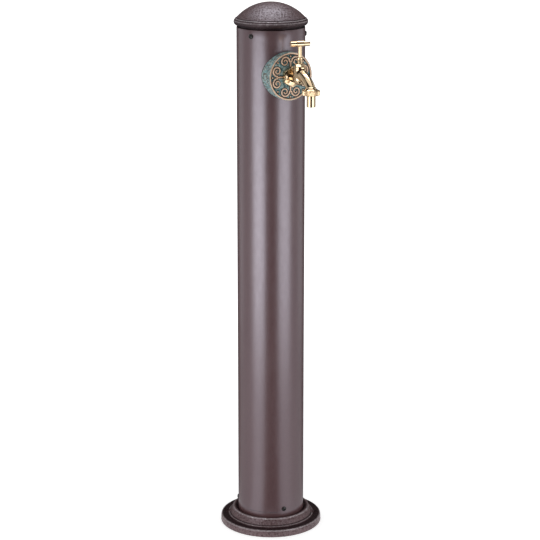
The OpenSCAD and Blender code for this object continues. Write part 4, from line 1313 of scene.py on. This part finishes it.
class STANDPIPE_OT_tap_top(bpy.types.Operator):
    """Makes the bonnet with its flange and hexagon, and the gland nut"""

    bl_idname = "standpipe.tap_top"
    bl_label = "Tap top"

    def execute(self, context):
        sizes = context.scene.standpipe_tap
        finish = finish_of("turned_brass", brass, context.scene.standpipe_colours)
        piece("bonnet_top", self.bonnet(sizes), finish, "column", "polished_brass", "bonnet")
        piece("gland_ring", self.gland(sizes), finish, "column", "polished_brass", "gland_nut")
        return {"FINISHED"}

    def bonnet(self, sizes):
        """The bonnet's thread and flange, turned, with its hexagon on top."""
        low, flange = corner("bonnet", 0, 2), corner("bonnet_washer", 1, 2)
        hex_low, top = flange + 2.7 * MM, corner("bonnet", 1, 2)
        thread_r = sizes.chamber_bore - 0.05 * MM
        bore = corner("spindle", 1, 0) + 0.05 * MM
        under_hex = sizes.bonnet_half - 1 * MM
        body = turned(rounded([
            (bore, low, 0),
            (thread_r, low, 0.5 * MM),
            (thread_r, flange, 0),
            (sizes.bonnet_r, flange, 0.5 * MM),
            (sizes.bonnet_r, hex_low, 0.7 * MM),
            (under_hex, hex_low, 0),
            (under_hex, hex_low + 1 * MM, 0),
            (bore, hex_low + 1 * MM, 0)], closed=True), 128, closed=True)
        far = 1.2 * sizes.bonnet_half
        outline = rounded([
            (sizes.stuffing_r, hex_low - 0.3 * MM, 0),
            (far, hex_low - 0.3 * MM, 0),
            (far, top - 1.3 * MM, 0.3 * MM),
            (sizes.bonnet_half - 0.2 * MM, top, 0.4 * MM),
            (sizes.stuffing_r, top, 0.3 * MM)], closed=True, steps=3)
        rule = self.only_outside(hexagon_rule(sizes.bonnet_half, sizes.bonnet_turn), sizes)
        hexagon = turned(spaced(outline, 0.8 * MM, closed=True), 132, closed=True, rule=rule)
        mesh = combined(moved(body, 0, -CHAMBER_REACH, 0), moved(hexagon, 0, -CHAMBER_REACH, 0), "UNION")
        return crisp(mesh, 40)

    def only_outside(self, rule, sizes):
        """Keeps a bore round where a hexagon rule would touch it."""
        def kept(angle, radius, height):
            return radius if radius < sizes.stuffing_r + 0.5 * MM else rule(angle, radius, height)
        return kept

    def gland(self, sizes):
        """The gland nut: a plug in the stuffing box, a neck and a ring."""
        low, top = corner("gland_nut", 0, 2), corner("gland_nut", 1, 2)
        hex_top = corner("bonnet", 1, 2)
        ring_r = corner("gland_nut", 1, 0)
        ring_low = top - sizes.gland_ring
        bore = sizes.spindle_r + 0.05 * MM
        inside = sizes.stuffing_r - 0.05 * MM
        outline = rounded([
            (bore, low, 0.2 * MM),
            (inside, low, 0.3 * MM),
            (inside, hex_top, 0),
            (sizes.gland_r, hex_top + 0.1 * MM, 0.3 * MM),
            (sizes.gland_r - 0.4 * MM, ring_low - 1 * MM, 0.6 * MM),
            (ring_r, ring_low, 0.5 * MM),
            (ring_r, top - 0.2 * MM, 0.9 * MM),
            (bore + 0.6 * MM, top, 0.3 * MM),
            (bore, top - 0.5 * MM, 0)], closed=True)
        return crisp(moved(turned(outline, 96, closed=True), 0, -CHAMBER_REACH, 0), 50)


class STANDPIPE_OT_handle(bpy.types.Operator):
    """Makes the spindle and the T-handle, which turn together"""

    bl_idname = "standpipe.handle"
    bl_label = "Handle"

    def execute(self, context):
        sizes = context.scene.standpipe_tap
        colours = context.scene.standpipe_colours
        upright = finish_of("turned_brass", brass, colours)
        lying = finish_of("bar_brass", brass, colours)
        piece("tap_spindle", self.spindle(sizes), upright, "handle", "polished_brass", "spindle")
        piece("tee_bar", self.bar(sizes), lying, "handle", "polished_brass", "tee_handle")
        return {"FINISHED"}

    def spindle(self, sizes):
        """The spindle: a thread with a hole for the jumper's pin, and a plain stem up to the handle."""
        low = corner("spindle", 0, 2)
        top = middle("tee_handle", 2)
        thread_r = corner("spindle", 1, 0)
        thread_top = low + 8 * MM
        bore, bore_top = 2.45 * MM, low + 7.4 * MM
        outline = rounded([
            (0, bore_top, 0),
            (bore, bore_top, 0),
            (bore, low, 0.2 * MM),
            (thread_r, low, 0.5 * MM),
            (thread_r, thread_top, 0.5 * MM),
            (sizes.spindle_r, thread_top, 0),
            (sizes.spindle_r, top, 0),
            (0, top, 0)])
        return crisp(moved(turned(spaced(outline, 4 * MM), 72), 0, -CHAMBER_REACH, 0), 50)

    def bar(self, sizes):
        """The T-handle's bar: two arms and a thicker middle."""
        half, boss = sizes.bar_length / 2, sizes.boss_length / 2
        outline = rounded([
            (0, -half, 0),
            (sizes.bar_r, -half, 0.9 * MM),
            (sizes.bar_r, -boss, 0.5 * MM),
            (sizes.boss_r, -boss, 0.5 * MM),
            (sizes.boss_r, boss, 0.5 * MM),
            (sizes.bar_r, boss, 0.5 * MM),
            (sizes.bar_r, half, 0.9 * MM),
            (0, half, 0)])
        mesh = turned(spaced(outline, 3 * MM), 96)
        mesh.transform(Matrix.Rotation(sizes.handle_turn, 4, "Z") @ Matrix.Rotation(math.pi / 2, 4, "Y"))
        return crisp(moved(mesh, 0, -CHAMBER_REACH, middle("tee_handle", 2)), 50)


class STANDPIPE_OT_outlet(bpy.types.Operator):
    """Makes the knurled union nut and the hose tail"""

    bl_idname = "standpipe.outlet"
    bl_label = "Outlet"

    def execute(self, context):
        sizes = context.scene.standpipe_tap
        colours = context.scene.standpipe_colours
        rough = finish_of("knurled_brass", brass, colours)
        smooth = finish_of("turned_brass", brass, colours)
        piece("knurled_nut", self.nut(sizes), rough, "union_ring", "polished_brass", "union_nut")
        piece("hose_nozzle", self.tail(sizes), smooth, "hose_connector", "polished_brass", "hose_tail")
        return {"FINISHED"}

    def nut(self, sizes):
        """The union nut: a knurled ring with a lip that carries the hose tail's flange."""
        low, top = corner("union_nut", 0, 2), corner("union_nut", 1, 2)
        outer = corner("union_nut", 1, 0)
        lip_r = sizes.tail_r + 0.4 * MM
        inner = sizes.skirt_r + 0.05 * MM
        edge, fillet = 0.9 * MM, 0.2 * MM
        corners = [
            (lip_r, low),
            (outer - edge, low),
            (outer, low + edge),
            (outer, top - edge),
            (outer - edge, top),
            (inner, top),
            (inner, low + sizes.nut_lip),
            (lip_r, low + sizes.nut_lip)]
        outline = rounded([(radius, z, fillet) for radius, z in corners], closed=True, steps=3)

        def knurl(angle, radius, height):
            groove = 0.5 - 0.5 * math.cos(sizes.knurl_count * angle)
            return min(radius, outer - sizes.knurl_depth * groove ** 0.8)

        mesh = turned(spaced(outline, 1 * MM, closed=True), 8 * sizes.knurl_count, closed=True, rule=knurl)
        return crisp(moved(mesh, 0, -OUTLET_REACH, 0), 45)

    def tail(self, sizes):
        """The hose tail: a plain nozzle with a step and a flange above the union nut's lip."""
        low, nut_low = corner("hose_tail", 0, 2), corner("union_nut", 0, 2)
        flange, top = nut_low + sizes.nut_lip, corner("hose_tail", 1, 2)
        flange_r = corner("hose_tail", 1, 0)
        step_r = sizes.tail_r + 0.3 * MM
        outline = rounded([
            (sizes.outlet_bore, low, 0.4 * MM),
            (sizes.tail_r, low, 0.7 * MM),
            (sizes.tail_r, nut_low - 0.5 * MM, 0),
            (step_r, nut_low - 0.4 * MM, 0),
            (step_r, flange, 0),
            (flange_r, flange, 0.3 * MM),
            (flange_r, top, 0.3 * MM),
            (sizes.outlet_bore, top, 0.3 * MM)], closed=True, steps=4)
        mesh = turned(spaced(outline, 3 * MM, closed=True), 128, closed=True)
        return crisp(moved(mesh, 0, -OUTLET_REACH, 0), 50)


class STANDPIPE_OT_inner_parts(bpy.types.Operator):
    """Gives the hidden pipework, valve and seals their finishes"""

    bl_idname = "standpipe.inner_parts"
    bl_label = "Inner parts"

    def execute(self, context):
        colours = context.scene.standpipe_colours
        finishes = {
            "plain_brass": plain_finish("machined_brass", colours.bare_brass, 1.0, 0.24, 6 * MM, 0.03 * MM),
            "galvanised_steel": plain_finish("galvanised_pipe", colours.zinc, 0.9, 0.4, 12 * MM, 0.06 * MM),
            "galvanised_iron": plain_finish("zinc_casting", colours.zinc, 0.85, 0.5, 5 * MM, 0.2 * MM),
            "black_rubber": plain_finish("seal_rubber", colours.rubber, 0.0, 0.6, 3 * MM, 0.04 * MM),
            "red_fibre": plain_finish("washer_fibre", colours.fibre, 0.0, 0.75, 2 * MM, 0.06 * MM),
            "black_plastic": plain_finish("guide_plastic", colours.plastic, 0.0, 0.45, 4 * MM, 0.03 * MM),
        }
        for part in frame["record"]["subparts"]:
            node = frame["nodes"][part["node"]]
            if not node.hide_render:
                node.data.materials.clear()
                node.data.materials.append(finishes[part["material_slot"]])
        return {"FINISHED"}


PIECES = (STANDPIPE_OT_column, STANDPIPE_OT_base, STANDPIPE_OT_cap, STANDPIPE_OT_screws, STANDPIPE_OT_rosette,
          STANDPIPE_OT_tap_body, STANDPIPE_OT_tap_top, STANDPIPE_OT_handle, STANDPIPE_OT_outlet,
          STANDPIPE_OT_inner_parts)


class STANDPIPE_PT_panel(bpy.types.Panel):
    """Lists the standpipe's stage and pieces"""

    bl_idname = "STANDPIPE_PT_panel"
    bl_label = "Garden Standpipe"
    bl_space_type = "VIEW_3D"
    bl_region_type = "UI"
    bl_category = "Standpipe"

    def draw(self, context):
        for operator in (STANDPIPE_OT_stage, *PIECES):
            self.layout.operator(operator.bl_idname)


GROUPS = {"standpipe_column": ColumnSizes, "standpipe_rosette": RosetteSizes, "standpipe_tap": TapSizes,
          "standpipe_colours": Colours, "standpipe_stage": StageSettings}
CLASSES = (*GROUPS.values(), STANDPIPE_OT_stage, *PIECES, STANDPIPE_PT_panel)


def register():
    for cls in CLASSES:
        bpy.utils.register_class(cls)
    for name, group in GROUPS.items():
        setattr(bpy.types.Scene, name, PointerProperty(type=group))


def unregister():
    for name in GROUPS:
        delattr(bpy.types.Scene, name)
    for cls in reversed(CLASSES):
        bpy.utils.unregister_class(cls)


def main():
    """Builds the stage and every piece."""
    register()
    bpy.ops.standpipe.stage()
    bpy.ops.standpipe.column()
    bpy.ops.standpipe.base()
    bpy.ops.standpipe.cap()
    bpy.ops.standpipe.screws()
    bpy.ops.standpipe.rosette()
    bpy.ops.standpipe.tap_body()
    bpy.ops.standpipe.tap_top()
    bpy.ops.standpipe.handle()
    bpy.ops.standpipe.outlet()
    bpy.ops.standpipe.inner_parts()


if __name__ == "__main__":
    main()
